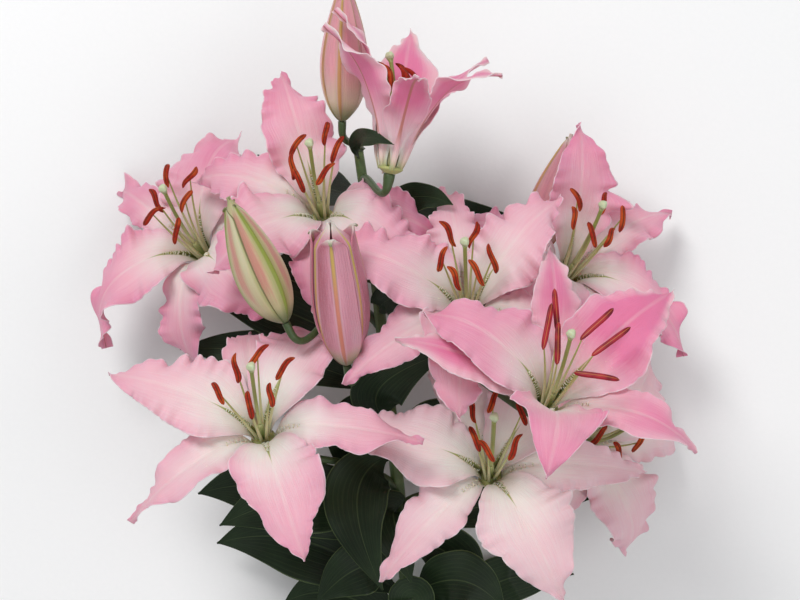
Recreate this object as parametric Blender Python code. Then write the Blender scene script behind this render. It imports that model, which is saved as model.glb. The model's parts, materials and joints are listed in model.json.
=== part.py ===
"""A cut oriental lily: one stem with its leaves, open blooms and buds, lying on a surface.

Sizes are in metres and angles in degrees. +Z is up from the surface and +Y runs from the
cut end to the top of the head. The origin is on the surface, under the middle of the box.
"""

import math
import random
from collections import namedtuple
from itertools import product

import bmesh
import bpy
import numpy as np
from mathutils import Matrix, Vector
from mathutils.bvhtree import BVHTree
from mathutils.geometry import interpolate_bezier

# The head is laid out around this point, which is the middle of the blooms seen from above.
MIDDLE = Vector((0.010, 0.131, 0.0))

# A tepal or leaf is this thick. Pieces that meet keep the seat gap, and pieces that only
# pass keep clear, or near where they grow from one place.
BLADE = 0.0009
SEAT_GAP = 0.0003
CLEAR = 0.0005
NEAR = 0.0001

STEM_ROUTE = (
    (0.022, -0.478, 0.0064),
    (0.018, -0.380, 0.024),
    (0.010, -0.270, 0.046),
    (0.000, -0.150, 0.068),
    (-0.010, -0.050, 0.084),
    (-0.020, 0.040, 0.093),
    (-0.030, 0.110, 0.098),
)
STEM_RADIUS = 0.0062
STEM_TOP_RADIUS = 0.0034
STEM_STEPS = 12
STEM_SIDES = 8
PEDICEL_RADIUS = 0.0025
PEDICEL_END_RADIUS = 0.0040
PEDICEL_BUD_RADIUS = 0.0029
PEDICEL_NECK = 0.006
PEDICEL_LEAVES = 0.35
PEDICEL_ARRIVES = 0.4
PEDICEL_STRAIGHT = 0.035
PEDICEL_STEPS = 4
PEDICEL_SIDES = 6

# The tepals start inside the receptacle, the short cone at the back of the bloom.
RECEPTACLE_HEIGHT = 0.0050
RECEPTACLE_RADIUS = 0.0094
RECEPTACLE_FOOT_RADIUS = 0.0066
TEPAL_LENGTH = 0.124
TEPAL_ROWS = 6
TEPAL_COLUMNS = 4
INNER_WIDTH = 0.059
OUTER_WIDTH = 0.038
INNER_START = 0.0058
OUTER_START = 0.0073
OUTER_MORE_SPREAD = (4, 9, 0)
CLAW_SHARE = 0.14
CLAW_POWER = 2.2
WIDEST = 0.45
TIP_POWER = 1.1
TIP_ROUND = 1.1
TIP_HALF_WIDTH = 0.0008
TIP_BOW = 6.0
GROOVE = 0.0016
GROOVE_WIDTH = 0.2

# How narrow or wide each side of a tepal may be at any of its rows, as a share of its outline.
LOBES = (0.80, 1.12)

# How far a tepal may twist by its tip. In a bloom whose tepals lean out less than the
# trumpet spread, they are narrower and hug its axis for longer.
TWIST = 22
OUTER_TWIST = 30
TRUMPET_SPREAD = 60
TRUMPET_NARROWER = 0.28
HUG_SHORTER = 0.45

# Where along a tepal its lean turns to the middle angle, and then to the tip's: the share
# of its length at which the turn starts, and the share that it takes.
FIRST_TURN = (0.04, 0.44)
SECOND_TURN = (0.42, 0.58)

# The waves of a tepal's edge: how high, where they start, over what share they grow, and
# how much of their height is lost by the tip.
RUFFLE = 0.0060
OUTER_RUFFLE = 0.75
RUFFLE_START = 0.22
RUFFLE_GROWTH = 0.25
RUFFLE_TIP_LESS = 0.35

# The stamens lean out and bend up, less so in a bloom that is less open than 80 degrees,
# and the anthers lie across their ends.
OPEN_SPREAD = 80
CLOSED_SHARE = 0.2
FILAMENT_LENGTH = 0.070
FILAMENT_RADIUS = 0.0009
FILAMENT_RING = 0.0036
FILAMENT_LEAN = (8, 19)
FILAMENT_BOW = 0.4
FILAMENT_BEND = 0.012
ANTHER_LENGTH = 0.019
ANTHER_RADIUS = 0.0021
ANTHER_TILT = 40
ANTHER_RISE = (-0.25, 0.45)
ANTHER_CLOSED_RISE = 2
DISC_RADIUS = 0.0045
DISC_HEIGHT = 0.0015

# Ovary, style and stigma: the share of the pistil's length, and the radius there.
PISTIL_LENGTH = 0.082
PISTIL_BEND = 0.016
PISTIL_PROFILE = ((0, 0.0019), (0.2, 0.0021), (0.26, 0.0012), (0.92, 0.0014), (0.965, 0.0032), (1, 0.0024))

BUD_SIDES = 12
BUD_RINGS = 7
BUD_LOBES = 0.09
BUD_RIBS = 0.03
BUD_BELLY = 0.8
BUD_TAPER = 0.28
BUD_OPENS = 3
BUD_CROWDS = 1.1

LEAF_ROWS = 5
LEAF_COLUMNS = 2
LEAF_BELLY = 0.9
LEAF_FOOT_SHARE = 0.14
LEAF_TIP_SHARE = 0.02
LEAF_FOLD = 0.30
LEAF_FOLD_TIP_LESS = 0.6
LEAF_TIP_SHIFT = 1.4

# seat is the back of the bloom and faces the way it looks. spread is the angle of its tepals
# from that axis at their base, middle and tip, and turns is what each tepal is off the even
# sixth of a circle, the three broad inner ones first. bends gives, for the tepals that differ
# most, how much further they open, curl and twist, and how far they swing sideways, as a share of
# their length. root is the share of the stem.
Bloom = namedtuple("Bloom", "name seat faces roll turns spread bends size ruffle root")
EVEN = (0, 0, 0, 0, 0, 0)
BLOOMS = (
    Bloom(
        "bloom_low_left", (-0.093, -0.096, 0.142), (-0.05, 0.45, 0.89), 50, (20, -7, 2, -5, -14, 5),
        (16, 80, 125), {4: (0, 5, 60, 0)}, 1.0, 1.0, 0.52,
    ),
    Bloom(
        "bloom_right", (0.097, -0.074, 0.170), (0.16, 0.45, 0.88), 20, (18, 6, -8, 6, -38, 12),
        (14, 56, 112), {1: (8, 10, 0, 0), 2: (-30, -15, 0, 0), 5: (-4, 25, 0, 0)}, 1.0, 0.8, 0.69,
    ),
    Bloom(
        "bloom_low_right", (0.063, -0.125, 0.105), (0.00, 0.38, 0.92), 52, (0, -9, 0, 0, -9, 12),
        (16, 82, 125), {}, 1.0, 0.9, 0.50,
    ),
    Bloom(
        "bloom_top", (-0.007, 0.086, 0.150), (0.16, 0.97, 0.10), 38, EVEN,
        (12, 28, 66), {0: (-2, -25, 0, 0), 1: (0, -15, 0, 0), 2: (4, 25, 0, 0)}, 0.9, 0.9, 0.92,
    ),
    Bloom(
        "bloom_upper_left", (-0.054, 0.056, 0.083), (-0.10, 0.45, 0.88), 100, (6, 0, -16, 0, 0, -48),
        (14, 62, 115), {}, 0.95, 1.4, 0.84,
    ),
    Bloom(
        "bloom_upper_right", (0.047, -0.012, 0.114), (-0.05, 0.45, 0.88), 40, (0, 0, -14, 0, -4, 0),
        (14, 64, 115), {}, 0.95, 1.4, 0.76,
    ),
    Bloom(
        "bloom_far_right", (0.116, 0.012, 0.050), (0.35, 0.50, 0.79), -25, EVEN,
        (14, 70, 145), {0: (0, -20, 0, -0.35), 3: (0, -10, 0, -0.2)}, 0.95, 1.5, 0.80,
    ),
    Bloom(
        "bloom_far_left", (-0.140, 0.030, 0.036), (-0.35, 0.42, 0.84), 85, EVEN,
        (14, 76, 150), {1: (0, 0, 0, 0.38)}, 0.95, 1.5, 0.72,
    ),
    Bloom(
        "bloom_low_far_right", (0.128, -0.105, 0.036), (0.45, 0.05, 0.88), 50, (0, 0, 0, 0, 0, 15),
        (14, 74, 150), {5: (0, 30, 0, 0)}, 0.9, 1.1, 0.54,
    ),
)

# roll turns a bud about its axis, and blunt is how wide its tip stays, which opens last, as a
# share of its radius.
Bud = namedtuple("Bud", "name seat faces roll length radius blunt root")
BUDS = (
    Bud("bud_green", (-0.077, -0.015, 0.165), (-0.40, 0.89, 0.20), 0, 0.094, 0.0180, 0, 0.78),
    Bud("bud_pink", (-0.036, -0.044, 0.150), (-0.10, 0.93, 0.34), 44, 0.104, 0.0200, 0.60, 0.70),
    Bud("bud_top", (-0.040, 0.124, 0.122), (0.02, 0.96, 0.28), 20, 0.098, 0.0175, 0, 0.98),
    Bud("bud_far_right", (0.095, 0.033, 0.057), (0.30, 0.93, 0.20), 40, 0.092, 0.0160, 0, 0.86),
)

# root is the share of the stem where the leaf grows, and bend and tip lie on its midrib.
Leaf = namedtuple("Leaf", "name root bend tip width faces")
LEAVES = (
    Leaf("leaf_front", 0.565, (-0.048, -0.125, 0.115), (-0.012, -0.202, 0.115), 0.047, (-0.2, -0.2, 1)),
    Leaf("leaf_middle", 0.60, (-0.036, -0.058, 0.125), (0.036, -0.034, 0.145), 0.038, (0, -0.4, 1)),
    Leaf("leaf_behind", 0.635, (-0.028, -0.070, 0.105), (0.016, -0.128, 0.095), 0.034, (0, -0.2, 1)),
    Leaf("leaf_left", 0.64, (-0.100, -0.030, 0.060), (-0.160, -0.036, 0.045), 0.034, (0, 0, 1)),
    Leaf("leaf_low_left", 0.46, (-0.080, -0.118, 0.068), (-0.146, -0.140, 0.055), 0.060, (0, -0.3, 1)),
    Leaf("leaf_lower_left", 0.41, (-0.070, -0.158, 0.048), (-0.134, -0.178, 0.035), 0.056, (0, 0, 1)),
    Leaf("leaf_bottom_left", 0.44, (-0.030, -0.180, 0.080), (-0.060, -0.218, 0.050), 0.040, (0, 0, 1)),
    Leaf("leaf_bottom_right", 0.46, (0.040, -0.170, 0.065), (0.060, -0.226, 0.045), 0.042, (0, 0, 1)),
    Leaf("leaf_bottom_middle", 0.38, (0.006, -0.190, 0.095), (0.016, -0.245, 0.070), 0.034, (0, 0, 1)),
    Leaf("leaf_right", 0.48, (0.090, -0.140, 0.035), (0.156, -0.140, 0.030), 0.034, (0, 0, 1)),
    Leaf("leaf_top", 0.96, (-0.034, 0.118, 0.150), (-0.004, 0.104, 0.172), 0.014, (0, 0, 1)),
    Leaf("leaf_upper", 0.88, (0.015, 0.070, 0.110), (0.034, 0.052, 0.125), 0.020, (0, 0, 1)),
    Leaf("leaf_upper_middle", 0.74, (-0.015, 0.002, 0.125), (0.020, 0.006, 0.135), 0.022, (0, 0, 1)),
    Leaf("leaf_rest_upper_left", 0.90, (-0.070, 0.075, 0.012), (-0.110, 0.095, -0.050), 0.036, (0, 0, 1)),
    Leaf("leaf_rest_upper_right", 0.90, (0.045, 0.050, 0.012), (0.095, 0.060, -0.050), 0.036, (0, 0, 1)),
    Leaf("leaf_rest_left", 0.36, (-0.060, -0.235, 0.010), (-0.105, -0.250, -0.050), 0.038, (0, 0, 1)),
    Leaf("leaf_rest_right", 0.38, (0.080, -0.200, 0.010), (0.130, -0.205, -0.050), 0.038, (0, 0, 1)),
    Leaf("leaf_stem_left", 0.29, (-0.030, -0.285, 0.055), (-0.075, -0.275, 0.025), 0.034, (0, 0, 1)),
    Leaf("leaf_stem_right", 0.26, (0.055, -0.300, 0.045), (0.100, -0.295, 0.020), 0.032, (0, 0, 1)),
    Leaf("leaf_stem_low", 0.21, (-0.010, -0.330, 0.045), (-0.045, -0.325, 0.030), 0.028, (0, 0, 1)),
    Leaf("leaf_dark_left", 0.50, (-0.070, -0.128, 0.100), (-0.128, -0.160, 0.085), 0.050, (0, 0, 1)),
    Leaf("leaf_dark_low", 0.37, (-0.045, -0.200, 0.058), (-0.085, -0.222, 0.050), 0.046, (0, 0, 1)),
    Leaf("leaf_under_front", 0.49, (-0.010, -0.140, 0.082), (0.008, -0.200, 0.080), 0.044, (0, 0, 1)),
    Leaf("leaf_under_low", 0.41, (0.045, -0.185, 0.080), (0.075, -0.222, 0.060), 0.044, (0, 0, 1)),
    Leaf("leaf_back_left", 0.68, (-0.085, 0.000, 0.068), (-0.150, 0.010, 0.055), 0.044, (0, 0, 1)),
    Leaf("leaf_back_middle", 0.80, (-0.045, 0.030, 0.070), (-0.100, 0.022, 0.070), 0.040, (0, 0, 1)),
    Leaf("leaf_back_right", 0.70, (0.040, 0.000, 0.060), (0.100, -0.025, 0.050), 0.044, (0, 0, 1)),
    Leaf("leaf_back_low", 0.55, (0.025, -0.080, 0.075), (0.075, -0.105, 0.070), 0.050, (0, 0, 1)),
)

# The ways a tepal gives way to what is beside it, from none to much: how far its middle
# and its tip open, in degrees, how far it swings sideways, as a share of its length, and
# how much shorter it is.
TEPAL_EASES = sorted(
    product((0, -9, 9, -18, 18, -27, 27), (0, -25, 25, -50), (0, -0.1, 0.1, -0.2, 0.2), (1, 0.85)),
    key=lambda ease: abs(ease[0]) / 9 + abs(ease[1]) / 20 + abs(ease[2]) / 0.08 + (1 - ease[3]) / 0.05,
)

# The same for a leaf: how far its bend moves up and sideways.
LEAF_EASES = sorted(
    product((0, 0.008, -0.008, 0.016, -0.016, 0.026, -0.026, -0.04), (0, 0.01, -0.01, 0.02, -0.02, 0.03)),
    key=lambda ease: abs(ease[0]) + abs(ease[1]),
)


def smooth(x):
    """0 below 0, 1 above 1, and a soft step between."""
    x = np.clip(x, 0, 1)
    return x * x * (3 - 2 * x)


def placed(point):
    return Vector(point) + MIDDLE


def frame_at(seat, faces):
    """Matrix from a bloom's own axes, with its face along +Z, to the row's."""
    ahead = Vector(faces).normalized()
    right = Vector((0, 1, 0)).cross(ahead).normalized()
    turn = Matrix((right, ahead.cross(right), ahead)).transposed().to_4x4()
    return Matrix.Translation(placed(seat)) @ turn


def moved(points, matrix):
    array = np.array(matrix)
    return points @ array[:3, :3].T + array[:3, 3]


# Scene, materials and objects


def clear_scene():
    for obj in list(bpy.data.objects):
        bpy.data.objects.remove(obj)


def new_collection(name):
    collection = bpy.data.collections.new(name)
    bpy.context.scene.collection.children.link(collection)
    return collection


def material(name, colour, roughness):
    made = bpy.data.materials.new(name)
    made.use_nodes = True
    shader = made.node_tree.nodes["Principled BSDF"]
    shader.inputs["Base Color"].default_value = (*colour, 1)
    shader.inputs["Roughness"].default_value = roughness
    shader.inputs["Metallic"].default_value = 0
    return made


def add_object(name, bm, finish, collection):
    """An object of the mesh in bm, shaded smooth, which frees bm."""
    mesh = bpy.data.meshes.new(name)
    bm.to_mesh(mesh)
    bm.free()
    mesh.shade_smooth()
    mesh.materials.append(finish)
    obj = bpy.data.objects.new(name, mesh)
    collection.objects.link(obj)
    return obj


def tree_of(obj):
    bm = bmesh.new()
    bm.from_mesh(obj.data)
    bm.transform(obj.matrix_world)
    tree = BVHTree.FromBMesh(bm)
    bm.free()
    return tree


def union(name, body, others, finish):
    """The others joined into body, which takes the name."""
    loose = new_collection("loose")
    for obj in others:
        loose.objects.link(obj)
    join = body.modifiers.new("Join", "BOOLEAN")
    join.operation = "UNION"
    join.solver = "MANIFOLD"
    join.operand_type = "COLLECTION"
    join.collection = loose
    bpy.context.view_layer.update()
    evaluated = body.evaluated_get(bpy.context.evaluated_depsgraph_get())
    mesh = bpy.data.meshes.new_from_object(evaluated)
    body.modifiers.clear()
    body.data = mesh
    body.name = mesh.name = name
    mesh.materials.clear()
    mesh.materials.append(finish)
    mesh.shade_smooth()
    for obj in others:
        bpy.data.objects.remove(obj)
    bpy.data.collections.remove(loose)
    return body


def tube(name, points, radii, sides, finish, collection):
    """A closed tube through the points, tapered by the radii."""
    curve = bpy.data.curves.new(name, "CURVE")
    curve.dimensions = "3D"
    curve.bevel_depth = 1
    curve.bevel_resolution = sides // 2 - 2
    curve.use_fill_caps = True
    spline = curve.splines.new("POLY")
    spline.points.add(len(points) - 1)
    for knot, point, radius in zip(spline.points, points, radii):
        knot.co = (*point, 1)
        knot.radius = radius
    line = bpy.data.objects.new(name, curve)
    collection.objects.link(line)
    evaluated = line.evaluated_get(bpy.context.evaluated_depsgraph_get())
    mesh = bpy.data.meshes.new_from_object(evaluated)
    bpy.data.objects.remove(line)
    bm = bmesh.new()
    bm.from_mesh(mesh)
    bmesh.ops.remove_doubles(bm, verts=bm.verts, dist=1e-6)
    return add_object(name, bm, finish, collection)


def blade(surface, thickness):
    """A bmesh of the surface, with that thickness about it and alike triangles on its faces.

    Its underside is flat where it rests on what the lily lies on.
    """
    rows, columns = surface.shape[0] - 1, surface.shape[1] - 1
    bm = bmesh.new()
    bmesh.ops.create_grid(bm, x_segments=columns, y_segments=rows, size=1)
    for vert, point in zip(bm.verts, surface.reshape(-1, 3)):
        vert.co = point
    bmesh.ops.triangulate(bm, faces=bm.faces)
    bm.normal_update()
    lifts = [vert.normal * (thickness / 2) for vert in bm.verts]
    for vert, lift in zip(bm.verts, lifts):
        vert.co += lift
    bmesh.ops.solidify(bm, geom=bm.faces, thickness=thickness)
    for vert in bm.verts:
        if vert.co.z < thickness / 3:
            vert.co.z = 0
    return bm


# What the pieces that come later must stay clear of


def crossings(surface, thickness, trees):
    """How many faces of the surface, made that thick, cross the trees."""
    bm = blade(surface, thickness)
    tree = BVHTree.FromBMesh(bm)
    bm.free()
    return sum(len(tree.overlap(other)) for other in trees)


def settle(name, shape, eases, others, kin):
    """The surface that shape gives for the smallest ease at which it crosses nothing.

    It stays well clear of the others, and may come nearer to its kin.
    """
    best = None
    for ease in eases:
        surface = shape(ease)
        found = 1000 * crossings(surface, BLADE + 2 * CLEAR, others)
        found += crossings(surface, BLADE + 2 * NEAR, kin)
        if best is None or found < best[0]:
            best = (found, ease, surface)
        if found == 0:
            break
    if best[0] or best[1] != eases[0]:
        print(f"{name} {best[0]} {best[1]}")
    return best[2]


def on_surface(points):
    """The points of a blade's middle, pressed flat where they would be under the surface."""
    pressed = points.copy()
    pressed[..., 2] = np.maximum(pressed[..., 2], BLADE / 2)
    return pressed


# Stem


def stem_point(share):
    """The point at that share of the stem, and the stem's direction there."""
    knots = [placed(point) for point in STEM_ROUTE]
    place = min(max(share, 0), 1) * (len(knots) - 1)
    index = min(int(place), len(knots) - 2)
    before, after = knots[max(index - 1, 0)], knots[min(index + 2, len(knots) - 1)]
    start, end = knots[index], knots[index + 1]
    lean_in, lean_out = (end - before) / 6, (after - start) / 6
    points = interpolate_bezier(start, start + lean_in, end - lean_out, end, 65)
    step = min(int((place - index) * 64), 63)
    return points[step].lerp(points[step + 1], (place - index) * 64 - step), (end - start).normalized()


def stem_radius(share):
    return STEM_RADIUS + (STEM_TOP_RADIUS - STEM_RADIUS) * share


def pedicel(flower, finish, collection):
    """The stalk from the stem to a bloom or bud, wider at its end."""
    start, along = stem_point(flower.root)
    ahead = Vector(flower.faces).normalized()
    end = placed(flower.seat) - ahead * SEAT_GAP
    neck = end - ahead * PEDICEL_NECK
    reach = (neck - start).length
    outward = (neck - start).normalized()
    leave = start + (along + outward).normalized() * reach * PEDICEL_LEAVES
    arrive = neck - ahead * min(reach * PEDICEL_ARRIVES, PEDICEL_STRAIGHT)
    points = interpolate_bezier(start, leave, arrive, neck, PEDICEL_STEPS + 1) + [end]
    end_radius = PEDICEL_END_RADIUS if isinstance(flower, Bloom) else PEDICEL_BUD_RADIUS
    radii = [PEDICEL_RADIUS] * (PEDICEL_STEPS + 1) + [end_radius]
    return tube("pedicel", points, radii, PEDICEL_SIDES, finish, collection)


def make_stem(collection, finish):
    shares = np.linspace(0, 1, STEM_STEPS + 1)
    points = [stem_point(share)[0] for share in shares]
    radii = [stem_radius(share) for share in shares]
    body = tube("stem", points, radii, STEM_SIDES, finish, collection)
    stalks = [pedicel(flower, finish, collection) for flower in BLOOMS + BUDS]
    return union("stem", body, stalks, finish)


# Blooms

Tepal = namedtuple("Tepal", "azimuth length width start spread twist swing ruffle crests lobes")


def tepals_of(bloom, seed):
    """The bloom's six tepals, the broad inner ones first, each with its own small differences."""
    draw = random.Random(seed)
    base, middle, tip = bloom.spread
    full = 1 - TRUMPET_NARROWER * (1 - min(middle / TRUMPET_SPREAD, 1))
    made = []
    for number, turn in enumerate(bloom.turns):
        inner = number < 3
        more_open, more_curled, more_twist, more_swing = bloom.bends.get(number, (0, 0, 0, 0))
        signs = [(-1) ** (row + number) for row in range(TEPAL_ROWS + 1)]
        crests = [[sign * side * draw.uniform(0.45, 1.2) for sign in signs] for side in (1, -1)]
        outline = random.Random(10 * seed + number)
        lobes = [[outline.uniform(*LOBES) for _ in signs] for _ in (1, -1)]
        made.append(
            Tepal(
                azimuth=bloom.roll + 120 * number + (0 if inner else 60) + turn + draw.uniform(-4, 4),
                length=TEPAL_LENGTH * bloom.size * draw.uniform(0.96, 1.03),
                width=(INNER_WIDTH if inner else OUTER_WIDTH) * bloom.size * full * draw.uniform(0.95, 1.05),
                start=INNER_START if inner else OUTER_START,
                spread=np.add(
                    (base, middle + draw.uniform(-5, 5) + more_open, tip + draw.uniform(-20, 20) + more_curled),
                    (0, 0, 0) if inner else OUTER_MORE_SPREAD,
                ),
                twist=draw.uniform(-1, 1) * (TWIST if inner else OUTER_TWIST) + more_twist,
                swing=draw.uniform(-0.05, 0.05) + more_swing,
                ruffle=RUFFLE * bloom.ruffle * (1 if inner else OUTER_RUFFLE),
                crests=crests,
                lobes=lobes,
            )
        )
    return made


def tepal_surface(tepal, ease, rows, columns):
    """Points of a tepal's middle surface in its bloom's frame, a row for each step along it."""
    fine = np.linspace(0, 1, 241)
    more_open, more_curled, more_swing, shrink = ease
    base, middle, tip = np.radians(np.add(tepal.spread, (0, more_open, more_open + more_curled)))
    length = tepal.length * shrink
    lean = base + (middle - base) * smooth((fine - FIRST_TURN[0]) / FIRST_TURN[1])
    lean += (tip - middle) * smooth((fine - SECOND_TURN[0]) / SECOND_TURN[1])
    step = length / (len(fine) - 1)
    half_way = (lean[1:] + lean[:-1]) / 2
    out = tepal.start + step * np.concatenate(([0], np.cumsum(np.sin(half_way))))
    up = RECEPTACLE_HEIGHT / 2 + step * np.concatenate(([0], np.cumsum(np.cos(half_way))))

    along = np.linspace(0, 1, rows + 1)[:, None]
    across = np.linspace(-1, 1, columns + 1)[None, :]
    lean, out, up = (np.interp(along, fine, values) for values in (lean, out, up))

    before, beyond = np.clip(along / WIDEST, 0, 1), np.clip((along - WIDEST) / (1 - WIDEST), 0, 1)
    widen = CLAW_SHARE + (1 - CLAW_SHARE) * np.sin(math.pi / 2 * before) ** CLAW_POWER
    narrow = np.cos(math.pi / 2 * beyond**TIP_POWER) ** TIP_ROUND
    nodes = np.linspace(0, 1, len(tepal.crests[0]))
    place = warp(along, len(nodes))
    fullness = 1
    for side, lobes in zip((-1, 1), tepal.lobes):
        fullness = fullness + np.clip(across * side, 0, 1) * (np.interp(place, nodes, lobes) - 1)
    reach = across * fullness * np.maximum(tepal.width / 2 * widen * narrow, TIP_HALF_WIDTH)

    # Low down the tepal bows round the bloom's axis, for longer in a bloom that is less open.
    hug_end = 1 - HUG_SHORTER * min(math.degrees(middle) / TRUMPET_SPREAD, 1)
    hug = (1 - smooth(along / hug_end)) / np.maximum(out, tepal.start)
    bow = hug - TIP_BOW * smooth(2 * along - 1) + 1e-3
    sideways = np.sin(bow * reach) / bow
    inward = (1 - np.cos(bow * reach)) / bow

    for side, crests in zip((-1, 1), tepal.crests):
        height = np.interp(place, nodes, crests)
        edge = np.clip(across * side, 0, 1) ** 2
        size = smooth((along - RUFFLE_START) / RUFFLE_GROWTH) * (1 - RUFFLE_TIP_LESS * along)
        inward = inward + tepal.ruffle * size * height * edge
    groove = np.exp(-((across / GROOVE_WIDTH) ** 2)) * smooth(along * 10) * (1 - along)
    inward = inward - GROOVE * groove

    roll = np.radians(tepal.twist) * along**2
    sideways, inward = (
        sideways * np.cos(roll) - inward * np.sin(roll),
        sideways * np.sin(roll) + inward * np.cos(roll),
    )
    swing = (tepal.swing + more_swing) * length * along**2
    outward, upward = out - inward * np.cos(lean), up + inward * np.sin(lean)
    points = np.stack((outward, sideways + swing, upward), axis=-1)
    return moved(points, Matrix.Rotation(math.radians(tepal.azimuth), 4, "Z"))


def warp(along, count):
    """along, eased between each pair of count nodes, so that a line through them turns smooth."""
    place = along * (count - 1)
    whole = np.floor(place)
    return (whole + smooth(place - whole)) / (count - 1)


def receptacle(bloom, finish, collection):
    """The short cone at the back of the bloom, where its tepals join."""
    bm = bmesh.new()
    bmesh.ops.create_cone(
        bm,
        cap_ends=True,
        segments=10,
        radius1=RECEPTACLE_FOOT_RADIUS,
        radius2=RECEPTACLE_RADIUS,
        depth=RECEPTACLE_HEIGHT,
        matrix=Matrix.Translation((0, 0, RECEPTACLE_HEIGHT / 2)),
    )
    bm.transform(frame_at(bloom.seat, bloom.faces))
    return add_object("receptacle", bm, finish, collection)


def make_tepals(bloom, seed, others, collection, finish):
    frame = frame_at(bloom.seat, bloom.faces)
    made, kin = [], []
    for number, tepal in enumerate(tepals_of(bloom, seed)):

        def shape(ease):
            return on_surface(moved(tepal_surface(tepal, ease, TEPAL_ROWS, TEPAL_COLUMNS), frame))

        surface = settle(f"{bloom.name} {number}", shape, TEPAL_EASES, others, kin)
        made.append(add_object("tepal", blade(surface, BLADE), finish, collection))
        kin.append(tree_of(made[-1]))
    return union(f"{bloom.name}_tepals", receptacle(bloom, finish, collection), made, finish)


def stamen_lines(bloom, seed):
    """For each stamen of the bloom, the filament's points and the anther's middle and direction."""
    draw = random.Random(seed)
    spread = CLOSED_SHARE + (1 - CLOSED_SHARE) * min(bloom.spread[1] / OPEN_SPREAD, 1)
    for number in range(6):
        azimuth = math.radians(bloom.roll + 30 + 60 * number + draw.uniform(-9, 9))
        lean = math.radians(draw.uniform(*FILAMENT_LEAN)) * spread
        length = FILAMENT_LENGTH * bloom.size * draw.uniform(0.92, 1.04)
        points = []
        for share in (0, 0.5, 1):
            bow = 1 - FILAMENT_BOW * (1 - share)
            out = FILAMENT_RING + length * share * math.sin(lean) * bow
            up = RECEPTACLE_HEIGHT + SEAT_GAP + DISC_HEIGHT / 2 + length * share * math.cos(lean)
            bend = FILAMENT_BEND * spread * share**2
            points.append(Vector((out * math.cos(azimuth), out * math.sin(azimuth) + bend, up)))
        tilt = math.radians(draw.uniform(-ANTHER_TILT, ANTHER_TILT))
        rise = draw.uniform(*ANTHER_RISE) + ANTHER_CLOSED_RISE * (1 - spread)
        along = Vector((math.sin(tilt), math.cos(tilt), rise)).normalized()
        yield points, along


def make_stamens(bloom, seed, collection, finish):
    """The disc at the bottom of the bloom, with six filaments and their anthers."""
    frame = frame_at(bloom.seat, bloom.faces)
    bm = bmesh.new()
    bottom = RECEPTACLE_HEIGHT + SEAT_GAP
    bmesh.ops.create_cone(
        bm,
        cap_ends=True,
        segments=8,
        radius1=DISC_RADIUS,
        radius2=DISC_RADIUS,
        depth=DISC_HEIGHT,
        matrix=frame @ Matrix.Translation((0, 0, bottom + DISC_HEIGHT / 2)),
    )
    disc = add_object("disc", bm, finish, collection)
    made = []
    for points, along in stamen_lines(bloom, seed):
        world = [frame @ point for point in points]
        made.append(tube("filament", world, [FILAMENT_RADIUS] * len(world), 4, finish, collection))
        bm = bmesh.new()
        bmesh.ops.create_uvsphere(bm, u_segments=5, v_segments=3, radius=1)
        turn = along.to_track_quat("Z", "X").to_matrix().to_4x4()
        size = Matrix.Diagonal((ANTHER_RADIUS, ANTHER_RADIUS, ANTHER_LENGTH / 2, 1))
        bm.transform(frame @ Matrix.Translation(points[-1]) @ turn @ size)
        made.append(add_object("anther", bm, finish, collection))
    return union(f"{bloom.name}_stamens", disc, made, finish)


def make_pistil(bloom, collection, finish):
    """Ovary, style and stigma, standing on the disc."""
    frame = frame_at(bloom.seat, bloom.faces)
    bottom = RECEPTACLE_HEIGHT + DISC_HEIGHT + 2 * SEAT_GAP
    length = PISTIL_LENGTH * bloom.size
    points = []
    for share, _ in PISTIL_PROFILE:
        points.append(frame @ Vector((0, PISTIL_BEND * share**2, bottom + length * share)))
    radii = [radius for _, radius in PISTIL_PROFILE]
    return tube(f"{bloom.name}_pistil", points, radii, 6, finish, collection)


# Buds


def make_bud(bud, collection, finish):
    """A bud: three broad lobes with a rib along each, drawn out to a point unless it is blunt."""
    bm = bmesh.new()
    bmesh.ops.create_uvsphere(bm, u_segments=BUD_SIDES, v_segments=BUD_RINGS, radius=1)
    for vert in bm.verts:
        share = math.acos(max(-1, min(1, -vert.co.z))) / math.pi
        angle = math.atan2(vert.co.y, vert.co.x)
        share += BUD_CROWDS * bud.blunt * share * (1 - share)
        swell = math.sin(math.pi * share**BUD_BELLY) ** BUD_BELLY * (1 - BUD_TAPER * share)
        swell += bud.blunt * share**BUD_OPENS
        lobes = 1 + BUD_LOBES * math.cos(3 * angle) + BUD_RIBS * math.cos(6 * angle)
        radius = bud.radius * swell * lobes
        if 0 < share < 1:
            vert.co = (radius * math.cos(angle), radius * math.sin(angle), bud.length * share)
        else:
            vert.co = (0, 0, bud.length * share)
    bm.transform(frame_at(bud.seat, bud.faces) @ Matrix.Rotation(math.radians(bud.roll), 4, "Z"))
    return add_object(bud.name, bm, finish, collection)


# Leaves


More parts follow.
